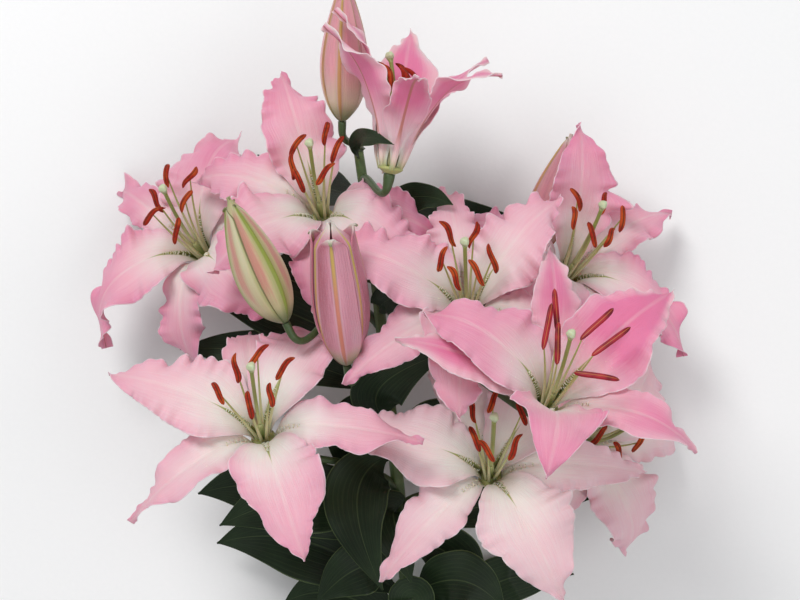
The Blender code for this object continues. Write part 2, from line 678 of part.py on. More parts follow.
def leaf_surface(leaf, ease, stem, rows, columns):
    """Points of a leaf's middle surface, from its foot on the stem to its tip."""
    lift, sway = ease
    axis_point, _ = stem_point(leaf.root)
    bend, tip = placed(leaf.bend), placed(leaf.tip)
    up = Vector(leaf.faces).normalized()
    shift = Vector((0, 0, lift)) + (tip - axis_point).cross(up).normalized() * sway
    outward = (bend - axis_point).normalized() * stem_radius(leaf.root)
    skin, normal, _, _ = stem.find_nearest(axis_point + outward)
    foot = skin + normal * (BLADE / 2 + SEAT_GAP)
    handles = foot.lerp(bend + shift, 0.7), bend.lerp(tip, 0.3) + shift
    midrib = np.array(interpolate_bezier(foot, *handles, tip + shift * LEAF_TIP_SHIFT, rows + 1))

    ahead = np.gradient(midrib, axis=0)
    ahead /= np.linalg.norm(ahead, axis=1)[:, None]
    ahead[0] = normal
    right = np.cross(ahead, np.array(up))
    right /= np.linalg.norm(right, axis=1)[:, None]
    top = np.cross(right, ahead)

    along = np.linspace(0, 1, rows + 1)[:, None]
    across = np.linspace(-1, 1, columns + 1)[None, :]
    outline = np.abs(np.sin(math.pi * along**LEAF_BELLY))
    outline = np.maximum(outline, LEAF_FOOT_SHARE * (1 - along) + LEAF_TIP_SHARE)
    reach = across * leaf.width / 2 * outline
    fold = LEAF_FOLD * np.abs(reach) * (1 - LEAF_FOLD_TIP_LESS * along)
    points = midrib[:, None] + reach[..., None] * right[:, None] + fold[..., None] * top[:, None]
    return on_surface(points)


def make_leaf(leaf, others, stem, collection, finish):
    def shape(ease):
        return leaf_surface(leaf, ease, stem, LEAF_ROWS, LEAF_COLUMNS)

    surface = settle(leaf.name, shape, LEAF_EASES, others, [stem])
    return add_object(leaf.name, blade(surface, BLADE), finish, collection)


def main():
    clear_scene()
    lily = new_collection("cut_lily")
    stem_green = material("stem green", (0.20, 0.29, 0.09), 0.45)
    leaf_green = material("leaf green", (0.035, 0.065, 0.022), 0.4)
    petal_pink = material("petal pink", (0.82, 0.50, 0.58), 0.5)
    bud_pink = material("bud pink", (0.62, 0.33, 0.33), 0.5)
    anther_rust = material("anther rust", (0.35, 0.06, 0.02), 0.7)
    pistil_green = material("pistil green", (0.50, 0.52, 0.25), 0.4)

    stem = tree_of(make_stem(lily, stem_green))
    others = [tree_of(make_bud(bud, lily, bud_pink)) for bud in BUDS]
    for number, bloom in enumerate(BLOOMS, 1):
        others.append(tree_of(make_stamens(bloom, 100 + number, lily, anther_rust)))
        others.append(tree_of(make_pistil(bloom, lily, pistil_green)))
    for number, bloom in enumerate(BLOOMS, 1):
        others.append(tree_of(make_tepals(bloom, number, [stem] + others, lily, petal_pink)))
    for leaf in LEAVES:
        others.append(tree_of(make_leaf(leaf, others, stem, lily, leaf_green)))


main()
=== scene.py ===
import json
import math
import random
from collections import namedtuple
from itertools import product

import bpy
import numpy as np
from mathutils import Matrix, Vector
from mathutils.bvhtree import BVHTree
from mathutils.geometry import interpolate_bezier

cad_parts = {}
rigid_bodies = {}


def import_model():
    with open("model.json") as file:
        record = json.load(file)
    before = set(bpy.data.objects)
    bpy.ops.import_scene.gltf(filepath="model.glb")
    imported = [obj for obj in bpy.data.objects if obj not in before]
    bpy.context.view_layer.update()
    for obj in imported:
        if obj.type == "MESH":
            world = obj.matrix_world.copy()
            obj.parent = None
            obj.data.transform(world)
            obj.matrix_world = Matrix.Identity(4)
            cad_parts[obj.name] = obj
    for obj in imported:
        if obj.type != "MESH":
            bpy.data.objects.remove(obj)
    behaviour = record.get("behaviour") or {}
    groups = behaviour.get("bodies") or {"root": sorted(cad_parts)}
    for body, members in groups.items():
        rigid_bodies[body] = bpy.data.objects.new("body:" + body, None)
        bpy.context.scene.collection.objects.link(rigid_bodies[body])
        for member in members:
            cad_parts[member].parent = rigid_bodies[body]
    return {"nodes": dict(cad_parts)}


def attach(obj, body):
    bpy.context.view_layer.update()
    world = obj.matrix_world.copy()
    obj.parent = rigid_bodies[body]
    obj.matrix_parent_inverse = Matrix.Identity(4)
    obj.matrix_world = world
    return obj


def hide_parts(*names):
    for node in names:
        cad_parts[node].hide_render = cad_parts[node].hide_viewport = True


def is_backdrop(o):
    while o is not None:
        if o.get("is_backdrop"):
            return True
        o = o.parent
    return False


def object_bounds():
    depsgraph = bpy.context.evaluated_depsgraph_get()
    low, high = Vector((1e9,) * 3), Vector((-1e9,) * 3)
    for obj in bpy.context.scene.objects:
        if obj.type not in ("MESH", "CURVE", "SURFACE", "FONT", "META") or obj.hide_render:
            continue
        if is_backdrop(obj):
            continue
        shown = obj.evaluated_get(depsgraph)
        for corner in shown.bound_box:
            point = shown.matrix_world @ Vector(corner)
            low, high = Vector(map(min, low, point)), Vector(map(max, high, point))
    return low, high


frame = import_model()
cad_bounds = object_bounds()

# The stem, with the pedicels that carry its blooms and buds. It is a round green rod with fine
# ribs, cut square at its foot, and it grew as one piece: each pedicel swells out of it at its
# root and widens again where its bloom or bud sits on it.

MIDDLE = Vector((0.010, 0.131, 0.0))
SEAT_GAP = 0.0003
STEM_ROUTE = (
    (0.022, -0.478, 0.0064),
    (0.018, -0.380, 0.024),
    (0.010, -0.270, 0.046),
    (0.000, -0.150, 0.068),
    (-0.010, -0.050, 0.084),
    (-0.020, 0.040, 0.093),
    (-0.030, 0.110, 0.098),
)
STEM_RADIUS = 0.0062
STEM_TOP_RADIUS = 0.0034
STEM_STEPS = 120
SPAN_STEPS = 64
STEM_SIDES = 36
STEM_RIBS = 9
RIB_HEIGHT = 0.02
FIRST_SIDE = (0.31, 0.17, 0.94)
PEDICEL_RADIUS = 0.0025
PEDICEL_END_RADIUS = 0.0040
PEDICEL_BUD_RADIUS = 0.0029
PEDICEL_ROOT_RADIUS = 0.0036
PEDICEL_NECK = 0.006
PEDICEL_LEAVES = 0.35
PEDICEL_ARRIVES = 0.4
PEDICEL_STRAIGHT = 0.035
PEDICEL_ROOT_SHARE = 0.25
PEDICEL_WIDENS = (0.7, 0.28)
PEDICEL_STEPS = 28
PEDICEL_SIDES = 16
PEDICEL_RIBS = 5
STEM_GREEN = (0.075, 0.125, 0.035)
STEM_PALE = (0.16, 0.22, 0.07)
STEM_DARK = (0.025, 0.05, 0.015)

# seat is the back of the bloom and faces the way it looks. spread is the angle of its tepals
# from that axis at their base, middle and tip, in degrees, and turns is what each tepal is off
# the even sixth of a circle. bends gives, for the tepals that differ most, how much further
# they open, curl and twist, and how far they swing sideways, as a share of their length. root is
# the share of the stem, and tone how deep the pink is.
Bloom = namedtuple("Bloom", "name seat faces roll turns spread bends size ruffle root tone")
EVEN = (0, 0, 0, 0, 0, 0)
BLOOMS = (
    Bloom(
        "bloom_low_left", (-0.093, -0.096, 0.142), (-0.05, 0.45, 0.89), 50, (20, -7, 2, -5, -14, 5),
        (16, 80, 125), {4: (0, 5, 60, 0)}, 1.0, 1.0, 0.52, 0.42,
    ),
    Bloom(
        "bloom_right", (0.097, -0.074, 0.170), (0.16, 0.45, 0.88), 20, (18, 6, -8, 6, -38, 12),
        (14, 56, 112), {1: (8, 10, 0, 0), 2: (-30, -15, 0, 0), 5: (-4, 25, 0, 0)}, 1.0, 0.8, 0.69, 0.68,
    ),
    Bloom(
        "bloom_low_right", (0.063, -0.125, 0.105), (0.00, 0.38, 0.92), 52, (0, -9, 0, 0, -9, 12),
        (16, 82, 125), {}, 1.0, 0.9, 0.50, 0.20,
    ),
    Bloom(
        "bloom_top", (-0.007, 0.086, 0.150), (0.16, 0.97, 0.10), 38, EVEN,
        (12, 28, 66), {0: (-2, -25, 0, 0), 1: (0, -15, 0, 0), 2: (4, 25, 0, 0)}, 0.9, 0.9, 0.92, 0.85,
    ),
    Bloom(
        "bloom_upper_left", (-0.054, 0.056, 0.083), (-0.10, 0.45, 0.88), 100, (6, 0, -16, 0, 0, -48),
        (14, 62, 115), {}, 0.95, 1.4, 0.84, 0.50,
    ),
    Bloom(
        "bloom_upper_right", (0.047, -0.012, 0.114), (-0.05, 0.45, 0.88), 40, (0, 0, -14, 0, -4, 0),
        (14, 64, 115), {}, 0.95, 1.4, 0.76, 0.45,
    ),
    Bloom(
        "bloom_far_right", (0.116, 0.012, 0.050), (0.35, 0.50, 0.79), -25, EVEN,
        (14, 70, 145), {0: (0, -20, 0, -0.35), 3: (0, -10, 0, -0.2)}, 0.95, 1.5, 0.80, 0.55,
    ),
    Bloom(
        "bloom_far_left", (-0.140, 0.030, 0.036), (-0.35, 0.42, 0.84), 85, EVEN,
        (14, 76, 150), {1: (0, 0, 0, 0.38)}, 0.95, 1.5, 0.72, 0.60,
    ),
    Bloom(
        "bloom_low_far_right", (0.128, -0.105, 0.036), (0.45, 0.05, 0.88), 50, (0, 0, 0, 0, 0, 15),
        (14, 74, 150), {5: (0, 30, 0, 0)}, 0.9, 1.1, 0.54, 0.25,
    ),
)

# roll turns a bud about its axis, blunt is how wide its tip stays, which opens last, as a share
# of its radius, ripe how far it has turned from green to pink, and parted how far its tips curl
# apart.
Bud = namedtuple("Bud", "name seat faces roll length radius blunt root ripe parted")
BUDS = (
    Bud(
        "bud_green", (-0.077, -0.015, 0.165), (-0.40, 0.89, 0.20),
        0, 0.094, 0.0180, 0, 0.78, 0.1, 0.0050,
    ),
    Bud(
        "bud_pink", (-0.036, -0.044, 0.150), (-0.10, 0.93, 0.34),
        44, 0.104, 0.0200, 0.60, 0.70, 1.0, 0.0085,
    ),
    Bud(
        "bud_top", (-0.040, 0.124, 0.122), (0.02, 0.96, 0.28),
        20, 0.098, 0.0175, 0, 0.98, 0.65, 0.0020,
    ),
    Bud(
        "bud_far_right", (0.095, 0.033, 0.057), (0.30, 0.93, 0.20),
        40, 0.092, 0.0160, 0, 0.86, 0.8, 0.0030,
    ),
)


class Reading:
    """What varies over a surface. Arithmetic on a number of this kind adds the nodes for it."""

    def __init__(self, look, socket):
        self.look = look
        self.socket = socket

    def math(self, operation, *values):
        return self.look.node("ShaderNodeMath", {"operation": operation}, dict(enumerate(values)))

    def __add__(self, other):
        return self.math("ADD", self, other)

    __radd__ = __add__

    def __sub__(self, other):
        return self.math("SUBTRACT", self, other)

    def __rsub__(self, other):
        return self.math("SUBTRACT", other, self)

    def __mul__(self, other):
        return self.math("MULTIPLY", self, other)

    __rmul__ = __mul__

    def __abs__(self):
        return self.math("ABSOLUTE", self)

    def wave(self):
        return self.math("COSINE", self * (2 * math.pi))

    def rise(self, start, end):
        """0 up to start, 1 from end on, and a soft step between. It falls where end is lower."""
        values = {"Value": self, "From Min": start, "From Max": end}
        return self.look.node("ShaderNodeMapRange", {"interpolation_type": "SMOOTHSTEP"}, values)

    def mix(self, second, share):
        """This colour where share is 0, and the second where it is 1."""
        return self.look.mix(self, second, share)


class Look:
    """A material on a Principled BSDF, whose plain sockets are set by name."""

    def __init__(self, name, plain):
        self.material = bpy.data.materials.new(name)
        self.material.use_nodes = True
        self.nodes = self.material.node_tree.nodes
        self.shader = self.nodes["Principled BSDF"]
        for socket, value in plain.items():
            self.shader.inputs[socket].default_value = value

    def feed(self, socket, value):
        if isinstance(value, Reading):
            self.material.node_tree.links.new(value.socket, socket)
        elif isinstance(value, tuple) and len(socket.default_value) == 4:
            socket.default_value = (*value, 1)
        else:
            socket.default_value = value

    def node(self, kind, settings, sockets, output=0):
        """A node of that kind, its settings made before its sockets, and one of its outputs."""
        made = self.nodes.new(kind)
        for setting, value in settings.items():
            if setting == "stops":
                ramp = made.color_ramp
                while len(ramp.elements) < len(value):
                    ramp.elements.new(1)
                for stop, (place, colour) in zip(ramp.elements, value):
                    stop.position = place
                    stop.color = (*colour, 1)
            else:
                setattr(made, setting, value)
        for socket, value in sockets.items():
            self.feed(made.inputs[socket], value)
        return Reading(self, made.outputs[output])

    def reading(self, name):
        return self.node("ShaderNodeAttribute", {"attribute_name": name}, {}, "Fac")

    def where(self):
        """The place of each point, in metres."""
        return self.node("ShaderNodeTexCoord", {}, {}, "Object")

    def place(self, x, y, z):
        return self.node("ShaderNodeCombineXYZ", {}, {0: x, 1: y, 2: z})

    def noise(self, place, scale, detail=2.0):
        return self.node("ShaderNodeTexNoise", {}, {"Vector": place, "Scale": scale, "Detail": detail})

    def mix(self, first, second, share):
        """A colour that is the first where share is 0, and the second where it is 1."""
        return self.node("ShaderNodeMix", {"data_type": "RGBA"}, {0: share, 6: first, 7: second}, 2)

    def ramp(self, share, stops):
        return self.node("ShaderNodeValToRGB", {"stops": stops}, {0: share})

    def finish(self, colour, height, depth, roughness=None):
        """Feeds the colour, the bump of that depth in metres and, where it varies, the roughness."""
        bump = self.node("ShaderNodeBump", {}, {"Height": height, "Distance": depth, "Strength": 1.0})
        self.feed(self.shader.inputs["Base Color"], colour)
        self.feed(self.shader.inputs["Normal"], bump)
        if roughness:
            self.feed(self.shader.inputs["Roughness"], roughness)
        return self.material


class Gathered:
    """Meshes gathered into one piece, with the readings that its material takes at each point."""

    def __init__(self):
        self.points = []
        self.faces = []
        self.readings = {}
        self.count = 0

    def add(self, points, faces, **readings):
        for name, values in readings.items():
            spread = np.broadcast_to(np.asarray(values, float), (len(points),))
            self.readings.setdefault(name, []).append(spread)
        self.points.append(points)
        self.faces += [[corner + self.count for corner in face] for face in faces]
        self.count += len(points)

    def piece(self, name, material, slot, *nodes):
        """The gathered meshes as one smooth object, in the place of the CAD nodes named."""
        mesh = bpy.data.meshes.new(name)
        mesh.from_pydata(np.concatenate(self.points), [], self.faces)
        for reading, blocks in self.readings.items():
            attribute = mesh.attributes.new(reading, "FLOAT", "POINT")
            attribute.data.foreach_set("value", np.concatenate(blocks).astype(np.float32))
        mesh.materials.append(material)
        mesh.shade_smooth()
        obj = bpy.data.objects.new(name, mesh)
        bpy.context.scene.collection.objects.link(obj)
        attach(obj, "root")
        if nodes:
            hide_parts(*nodes)


def smooth(x):
    """0 below 0, 1 above 1, and a soft step between."""
    x = np.clip(x, 0, 1)
    return x * x * (3 - 2 * x)


def placed(point):
    """A point of the tables, which count from under the camera, in the shared frame."""
    return Vector(point) + MIDDLE


def unit(rows):
    return rows / np.linalg.norm(rows, axis=-1, keepdims=True)


def add_rod(gathered, line, radii, sides, ribs=0, height=0.0, **readings):
    """Adds a closed round rod with that many ribs. A reading for each ring holds all round it."""
    path = np.array([tuple(point) for point in line])
    ahead = unit(np.gradient(path, axis=0))
    angle = np.linspace(0, 2 * math.pi, sides, endpoint=False)
    swell = (1 + height * np.cos(ribs * angle))[:, None]
    side = np.array(FIRST_SIDE)
    rings = []
    for centre, direction, radius in zip(path, ahead, radii):
        side = unit(side - direction * side.dot(direction))
        other = np.cross(direction, side)
        around = np.cos(angle)[:, None] * side + np.sin(angle)[:, None] * other
        rings.append(centre + radius * swell * around)
    ring = np.arange(sides)
    lower = (np.arange(len(path) - 1) * sides)[:, None]
    after = (ring + 1) % sides
    quads = np.stack((lower + ring, lower + after, lower + sides + after, lower + sides + ring), -1)
    last = (len(path) - 1) * sides
    foot, top = len(path) * sides, len(path) * sides + 1
    faces = quads.reshape(-1, 4).tolist()
    faces += [(foot, b, a) for a, b in zip(ring, after)]
    faces += [(top, last + a, last + b) for a, b in zip(ring, after)]
    for name, values in readings.items():
        if np.ndim(values) == 1:
            readings[name] = np.concatenate((np.repeat(values, sides), (values[0], values[-1])))
    gathered.add(np.concatenate(rings + [path[:1], path[-1:]]), faces, **readings)


def stem_point(share):
    """The point at that share of the stem, and the stem's direction there."""
    knots = [placed(point) for point in STEM_ROUTE]
    place = min(max(share, 0), 1) * (len(knots) - 1)
    index = min(int(place), len(knots) - 2)
    before, after = knots[max(index - 1, 0)], knots[min(index + 2, len(knots) - 1)]
    start, end = knots[index], knots[index + 1]
    lean_in, lean_out = (end - before) / 6, (after - start) / 6
    points = interpolate_bezier(start, start + lean_in, end - lean_out, end, SPAN_STEPS + 1)
    place = (place - index) * SPAN_STEPS
    step = min(int(place), SPAN_STEPS - 1)
    return points[step].lerp(points[step + 1], place - step), (end - start).normalized()


def stem_radius(share):
    return STEM_RADIUS + (STEM_TOP_RADIUS - STEM_RADIUS) * share


def pedicel(flower):
    """The route and radii of the stalk from the stem to a bloom or bud."""
    start, along = stem_point(flower.root)
    ahead = Vector(flower.faces).normalized()
    end = placed(flower.seat) - ahead * SEAT_GAP
    neck = end - ahead * PEDICEL_NECK
    reach = (neck - start).length
    outward = (neck - start).normalized()
    leave = start + (along + outward).normalized() * reach * PEDICEL_LEAVES
    arrive = neck - ahead * min(reach * PEDICEL_ARRIVES, PEDICEL_STRAIGHT)
    points = interpolate_bezier(start, leave, arrive, neck, PEDICEL_STEPS)
    points += [neck.lerp(end, share) for share in (0.25, 0.5, 0.75, 1)]
    share = np.linspace(0, 1, len(points))
    rooted = 1 - smooth(share / PEDICEL_ROOT_SHARE)
    radii = PEDICEL_RADIUS + (PEDICEL_ROOT_RADIUS - PEDICEL_RADIUS) * rooted
    end_radius = PEDICEL_END_RADIUS if isinstance(flower, Bloom) else PEDICEL_BUD_RADIUS
    widened = smooth((share - PEDICEL_WIDENS[0]) / PEDICEL_WIDENS[1])
    return points, radii + (end_radius - PEDICEL_RADIUS) * widened


stem_look = Look(
    "stem green", {"Roughness": 0.42, "Subsurface Weight": 0.08, "Subsurface Scale": 0.004}
)
where = stem_look.where()
along, stalk = map(stem_look.reading, ("along", "stalk"))
streak = stem_look.noise(stem_look.place(along * 9, stalk, 0), 6.0, 4.0)
speckle = stem_look.noise(where, 900.0)
green = stem_look.mix(STEM_GREEN, STEM_PALE, streak.rise(0.45, 0.75) * 0.6)
dark = speckle.rise(0.55, 0.75) * 0.35 + along.rise(0.12, 0) * 0.3 + stalk * 0.6
green = green.mix(STEM_DARK, dark)
stem_finish = stem_look.finish(green, speckle + streak, 0.0002)

stem = Gathered()
shares = np.linspace(0, 1, STEM_STEPS + 1)
route = [stem_point(share)[0] for share in shares]
add_rod(stem, route, stem_radius(shares), STEM_SIDES, STEM_RIBS, RIB_HEIGHT, along=shares, stalk=0)
for flower in BLOOMS + BUDS:
    route, radii = pedicel(flower)
    shares = np.linspace(0, 1, len(route))
    add_rod(stem, route, radii, PEDICEL_SIDES, PEDICEL_RIBS, RIB_HEIGHT, along=shares, stalk=1)
stem.piece("stem_and_pedicels", stem_finish, "stem", "stem")

# The leaves. Each is one thin lance-shaped blade that clasps the stem at its foot, folded a
# little along its midrib, with veins that run side by side from foot to tip, a waxy dark green
# face, a paler back and a thin light edge. The lowest four lie pressed on the table.

BLADE = 0.0009
NEAR_ENOUGH = BLADE / 20
LEAF_ROWS = 5
LEAF_COLUMNS = 2
LEAF_FINE_ROWS = 60
LEAF_FINE_COLUMNS = 24
LEAF_BELLY = 0.9
LEAF_FOOT_SHARE = 0.14
LEAF_TIP_SHARE = 0.02
LEAF_FOLD = 0.30
LEAF_FOLD_TIP_LESS = 0.6
LEAF_HANDLES = (0.7, 0.3)
LEAF_TIP_SHIFT = 1.4
LEAF_EDGE = 0.0005
LEAF_MIDRIB = 0.0012
LEAF_MIDRIB_WIDTH = 0.05
LEAF_FRONT_SHARE = 0.4
LEAF_VEINS = 7
VEIN_HEIGHT = 0.00016
LEAF_WAVE = 0.0016
LEAF_WAVES = (2.2, 3.6)
WHOLE_TURN = (0, 6.3)
LEAF_FOOT_ROWS = 9
LEAF_GAP = 0.0009
PRESS_STEP = 5
PRESS_REACH = 0.012
LEAF_DARK = (0.007, 0.016, 0.006)
LEAF_GREEN = (0.018, 0.038, 0.013)
LEAF_BACK = (0.060, 0.095, 0.045)
LEAF_LIGHT = (0.13, 0.18, 0.07)

# root is the share of the stem where the leaf grows, and bend and tip lie on its midrib. faces is
# the way that its face looks: straight up, unless a leaf says otherwise.
Leaf = namedtuple("Leaf", "name root bend tip width faces", defaults=((0, 0, 1),))
LEAVES = (
    Leaf("leaf_front", 0.565, (-0.048, -0.125, 0.115), (-0.012, -0.202, 0.115), 0.047, (-0.2, -0.2, 1)),
    Leaf("leaf_middle", 0.60, (-0.036, -0.058, 0.125), (0.036, -0.034, 0.145), 0.038, (0, -0.4, 1)),
    Leaf("leaf_behind", 0.635, (-0.028, -0.070, 0.105), (0.016, -0.128, 0.095), 0.034, (0, -0.2, 1)),
    Leaf("leaf_left", 0.64, (-0.100, -0.030, 0.060), (-0.160, -0.036, 0.045), 0.034),
    Leaf("leaf_low_left", 0.46, (-0.080, -0.118, 0.068), (-0.146, -0.140, 0.055), 0.060, (0, -0.3, 1)),
    Leaf("leaf_lower_left", 0.41, (-0.070, -0.158, 0.048), (-0.134, -0.178, 0.035), 0.056),
    Leaf("leaf_bottom_left", 0.44, (-0.030, -0.180, 0.080), (-0.060, -0.218, 0.050), 0.040),
    Leaf("leaf_bottom_right", 0.46, (0.040, -0.170, 0.065), (0.060, -0.226, 0.045), 0.042),
    Leaf("leaf_bottom_middle", 0.38, (0.006, -0.190, 0.095), (0.016, -0.245, 0.070), 0.034),
    Leaf("leaf_right", 0.48, (0.090, -0.140, 0.035), (0.156, -0.140, 0.030), 0.034),
    Leaf("leaf_top", 0.96, (-0.034, 0.118, 0.150), (-0.004, 0.104, 0.172), 0.014),
    Leaf("leaf_upper", 0.88, (0.015, 0.070, 0.110), (0.034, 0.052, 0.125), 0.020),
    Leaf("leaf_upper_middle", 0.74, (-0.015, 0.002, 0.125), (0.020, 0.006, 0.135), 0.022),
    Leaf("leaf_rest_upper_left", 0.90, (-0.070, 0.075, 0.012), (-0.110, 0.095, -0.050), 0.036),
    Leaf("leaf_rest_upper_right", 0.90, (0.045, 0.050, 0.012), (0.095, 0.060, -0.050), 0.036),
    Leaf("leaf_rest_left", 0.36, (-0.060, -0.235, 0.010), (-0.105, -0.250, -0.050), 0.038),
    Leaf("leaf_rest_right", 0.38, (0.080, -0.200, 0.010), (0.130, -0.205, -0.050), 0.038),
    Leaf("leaf_stem_left", 0.29, (-0.030, -0.285, 0.055), (-0.075, -0.275, 0.025), 0.034),
    Leaf("leaf_stem_right", 0.26, (0.055, -0.300, 0.045), (0.100, -0.295, 0.020), 0.032),
    Leaf("leaf_stem_low", 0.21, (-0.010, -0.330, 0.045), (-0.045, -0.325, 0.030), 0.028),
    Leaf("leaf_dark_left", 0.50, (-0.070, -0.128, 0.100), (-0.128, -0.160, 0.085), 0.050),
    Leaf("leaf_dark_low", 0.37, (-0.045, -0.200, 0.058), (-0.085, -0.222, 0.050), 0.046),
    Leaf("leaf_under_front", 0.49, (-0.010, -0.140, 0.082), (0.008, -0.200, 0.080), 0.044),
    Leaf("leaf_under_low", 0.41, (0.045, -0.185, 0.080), (0.075, -0.222, 0.060), 0.044),
    Leaf("leaf_back_left", 0.68, (-0.085, 0.000, 0.068), (-0.150, 0.010, 0.055), 0.044),
    Leaf("leaf_back_middle", 0.80, (-0.045, 0.030, 0.070), (-0.100, 0.022, 0.070), 0.040),
    Leaf("leaf_back_right", 0.70, (0.040, 0.000, 0.060), (0.100, -0.025, 0.050), 0.044),
    Leaf("leaf_back_low", 0.55, (0.025, -0.080, 0.075), (0.075, -0.105, 0.070), 0.050),
)

# The ways that a leaf may have given way to what is beside it: how far its bend moved up and
# sideways, from none to much.
LEAF_LIFTS = (0, 0.008, -0.008, 0.016, -0.016, 0.026, -0.026, -0.04)
LEAF_SWAYS = (0, 0.01, -0.01, 0.02, -0.02, 0.03)
LEAF_EASES = sorted(product(LEAF_LIFTS, LEAF_SWAYS), key=lambda ease: abs(ease[0]) + abs(ease[1]))


def tree_of(mesh):
    """The mesh's faces, to be asked for the nearest point on them, or what they cross."""
    return BVHTree.FromPolygons([v.co for v in mesh.vertices], [p.vertices for p in mesh.polygons])


def as_built(node, shape, eases, rows, columns):
    """The ease whose surface runs half a blade deep inside the CAD node."""
    tree = tree_of(frame["nodes"][node].data)
    misses = {}
    for ease in eases:
        points = shape(ease)[rows, columns].reshape(-1, 3)
        depths = [tree.find_nearest(Vector(point))[3] for point in points]
        misses[ease] = np.abs(np.array(depths) - BLADE / 2).mean()
        if misses[ease] < NEAR_ENOUGH:
            break
    return min(misses, key=misses.get)


def blade_shares(rows, columns):
    """The share of a blade's length, and of its half width, at the points of its grid."""
    return np.linspace(0, 1, rows + 1)[:, None], np.linspace(-1, 1, columns + 1)[None, :]


def ridge(off, width):
    """1 where off is 0, fading to nothing a few widths away."""
    return np.exp(-((off / width) ** 2))


def on_surface(points):
    """The points of a blade's middle, pressed flat where they would be under the surface."""
    pressed = points.copy()
    pressed[..., 2] = np.maximum(pressed[..., 2], BLADE / 2)
    return pressed


def pressed_off(points, tree, gap):
    """The points of a blade's middle, pressed aside where they would be too near to the solid."""
    coarse = points[::PRESS_STEP, ::PRESS_STEP].reshape(-1, 3)
    if min(tree.find_nearest(Vector(point))[3] for point in coarse) > PRESS_REACH:
        return points
    pressed = points.copy()
    for row, column in np.ndindex(points.shape[:2]):
        point = Vector(points[row, column])
        skin, normal, _, distance = tree.find_nearest(point)
        outside = (point - skin).dot(normal) > 0
        if distance < (gap if outside else PRESS_REACH):
            pressed[row, column] = skin + normal * gap
    return pressed


def leaf_surface(leaf, ease, rows, columns):
    """Points of a leaf's middle surface, from its foot on the stem to its tip."""
    lift, sway = ease
    axis_point, _ = stem_point(leaf.root)
    bend, tip = placed(leaf.bend), placed(leaf.tip)
    up = Vector(leaf.faces).normalized()
    shift = Vector((0, 0, lift)) + (tip - axis_point).cross(up).normalized() * sway
    outward = (bend - axis_point).normalized() * stem_radius(leaf.root)
    skin, normal, _, _ = stem_tree.find_nearest(axis_point + outward)
    foot = skin + normal * (BLADE / 2 + SEAT_GAP)
    handles = foot.lerp(bend + shift, LEAF_HANDLES[0]), bend.lerp(tip, LEAF_HANDLES[1]) + shift
    end = tip + shift * LEAF_TIP_SHIFT
    midrib = np.array(interpolate_bezier(foot, *handles, end, rows + 1))

    along, across = blade_shares(rows, columns)
    ahead = unit(np.gradient(midrib, axis=0))
    ahead = unit(np.array(normal) + (ahead - np.array(normal)) * np.clip(along * LEAF_ROWS, 0, 1))
    right = unit(np.cross(np.array(up), ahead))
    top = np.cross(ahead, right)

    outline = np.abs(np.sin(math.pi * along**LEAF_BELLY))
    outline = np.maximum(outline, LEAF_FOOT_SHARE * (1 - along) + LEAF_TIP_SHARE)
    reach = across * leaf.width / 2 * outline
    fold = LEAF_FOLD * np.abs(reach) * (1 - LEAF_FOLD_TIP_LESS * along)
    return midrib[:, None] + reach[..., None] * right[:, None] + fold[..., None] * top[:, None]


def faced(points):
    """Which way each point of a grid faces: the way that its rows cross its columns."""
    return unit(np.cross(np.gradient(points, axis=0), np.gradient(points, axis=1)))


def add_blade(gathered, points, lift, drop, **readings):
    """Adds a closed blade, from its middle surface and how thick it is each way."""
    normals = faced(points)
    front = points + normals * lift[..., None]
    back = points - normals * drop[..., None]
    for face in (front, back):
        face[..., 2] = np.maximum(face[..., 2], 0)
    rows, columns = points.shape[0] - 1, points.shape[1] - 1
    number = np.arange(points.shape[0] * points.shape[1]).reshape(points.shape[:2])
    quads = [number[:-1, :-1], number[1:, :-1], number[1:, 1:], number[:-1, 1:]]
    upper = np.stack(quads, -1).reshape(-1, 4)
    lower = upper[:, ::-1] + number.size
    rim = np.concatenate((number[0], number[1:, -1], number[-1, -2::-1], number[-2:0:-1, 0]))
    after = np.roll(rim, -1)
    wall = np.stack((rim, after, after + number.size, rim + number.size), -1)
    faces = np.concatenate((upper, lower, wall)).tolist()
    for name, values in readings.items():
        if np.ndim(values) == 2:
            readings[name] = np.tile(np.broadcast_to(values, lift.shape).ravel(), 2)
    gathered.add(np.concatenate((front.reshape(-1, 3), back.reshape(-1, 3))), faces, **readings)


leaf_look = Look("leaf green", {"Roughness": 0.4, "Specular IOR Level": 0.22})
where = leaf_look.where()
along, across, front, tone = map(leaf_look.reading, ("along", "across", "front", "tone"))
patch = leaf_look.noise(where, 40.0, 3.0)
streak = leaf_look.noise(leaf_look.place(across * 14, along * 1.5, tone * 9), 3.0, 3.0)
grain = leaf_look.noise(where, 1500.0)
vein = (across * LEAF_VEINS).wave()
lighter = patch.rise(0.3, 0.75) * 0.5 + streak.rise(0.3, 0.7) * 0.5
green = leaf_look.mix(LEAF_DARK, LEAF_GREEN, lighter)
pale = vein.rise(0.86, 1.0) * 0.10 + abs(across).rise(0.035, 0.012) * 0.22
green = green.mix(LEAF_LIGHT, pale)
green = green.mix(LEAF_BACK, 1 - front)
green = green.mix(LEAF_LIGHT, abs(across).rise(0.955, 0.99) * 0.6)
leaf_finish = leaf_look.finish(green, grain * 0.25 + streak, 0.00025, patch * 0.14 + 0.34)

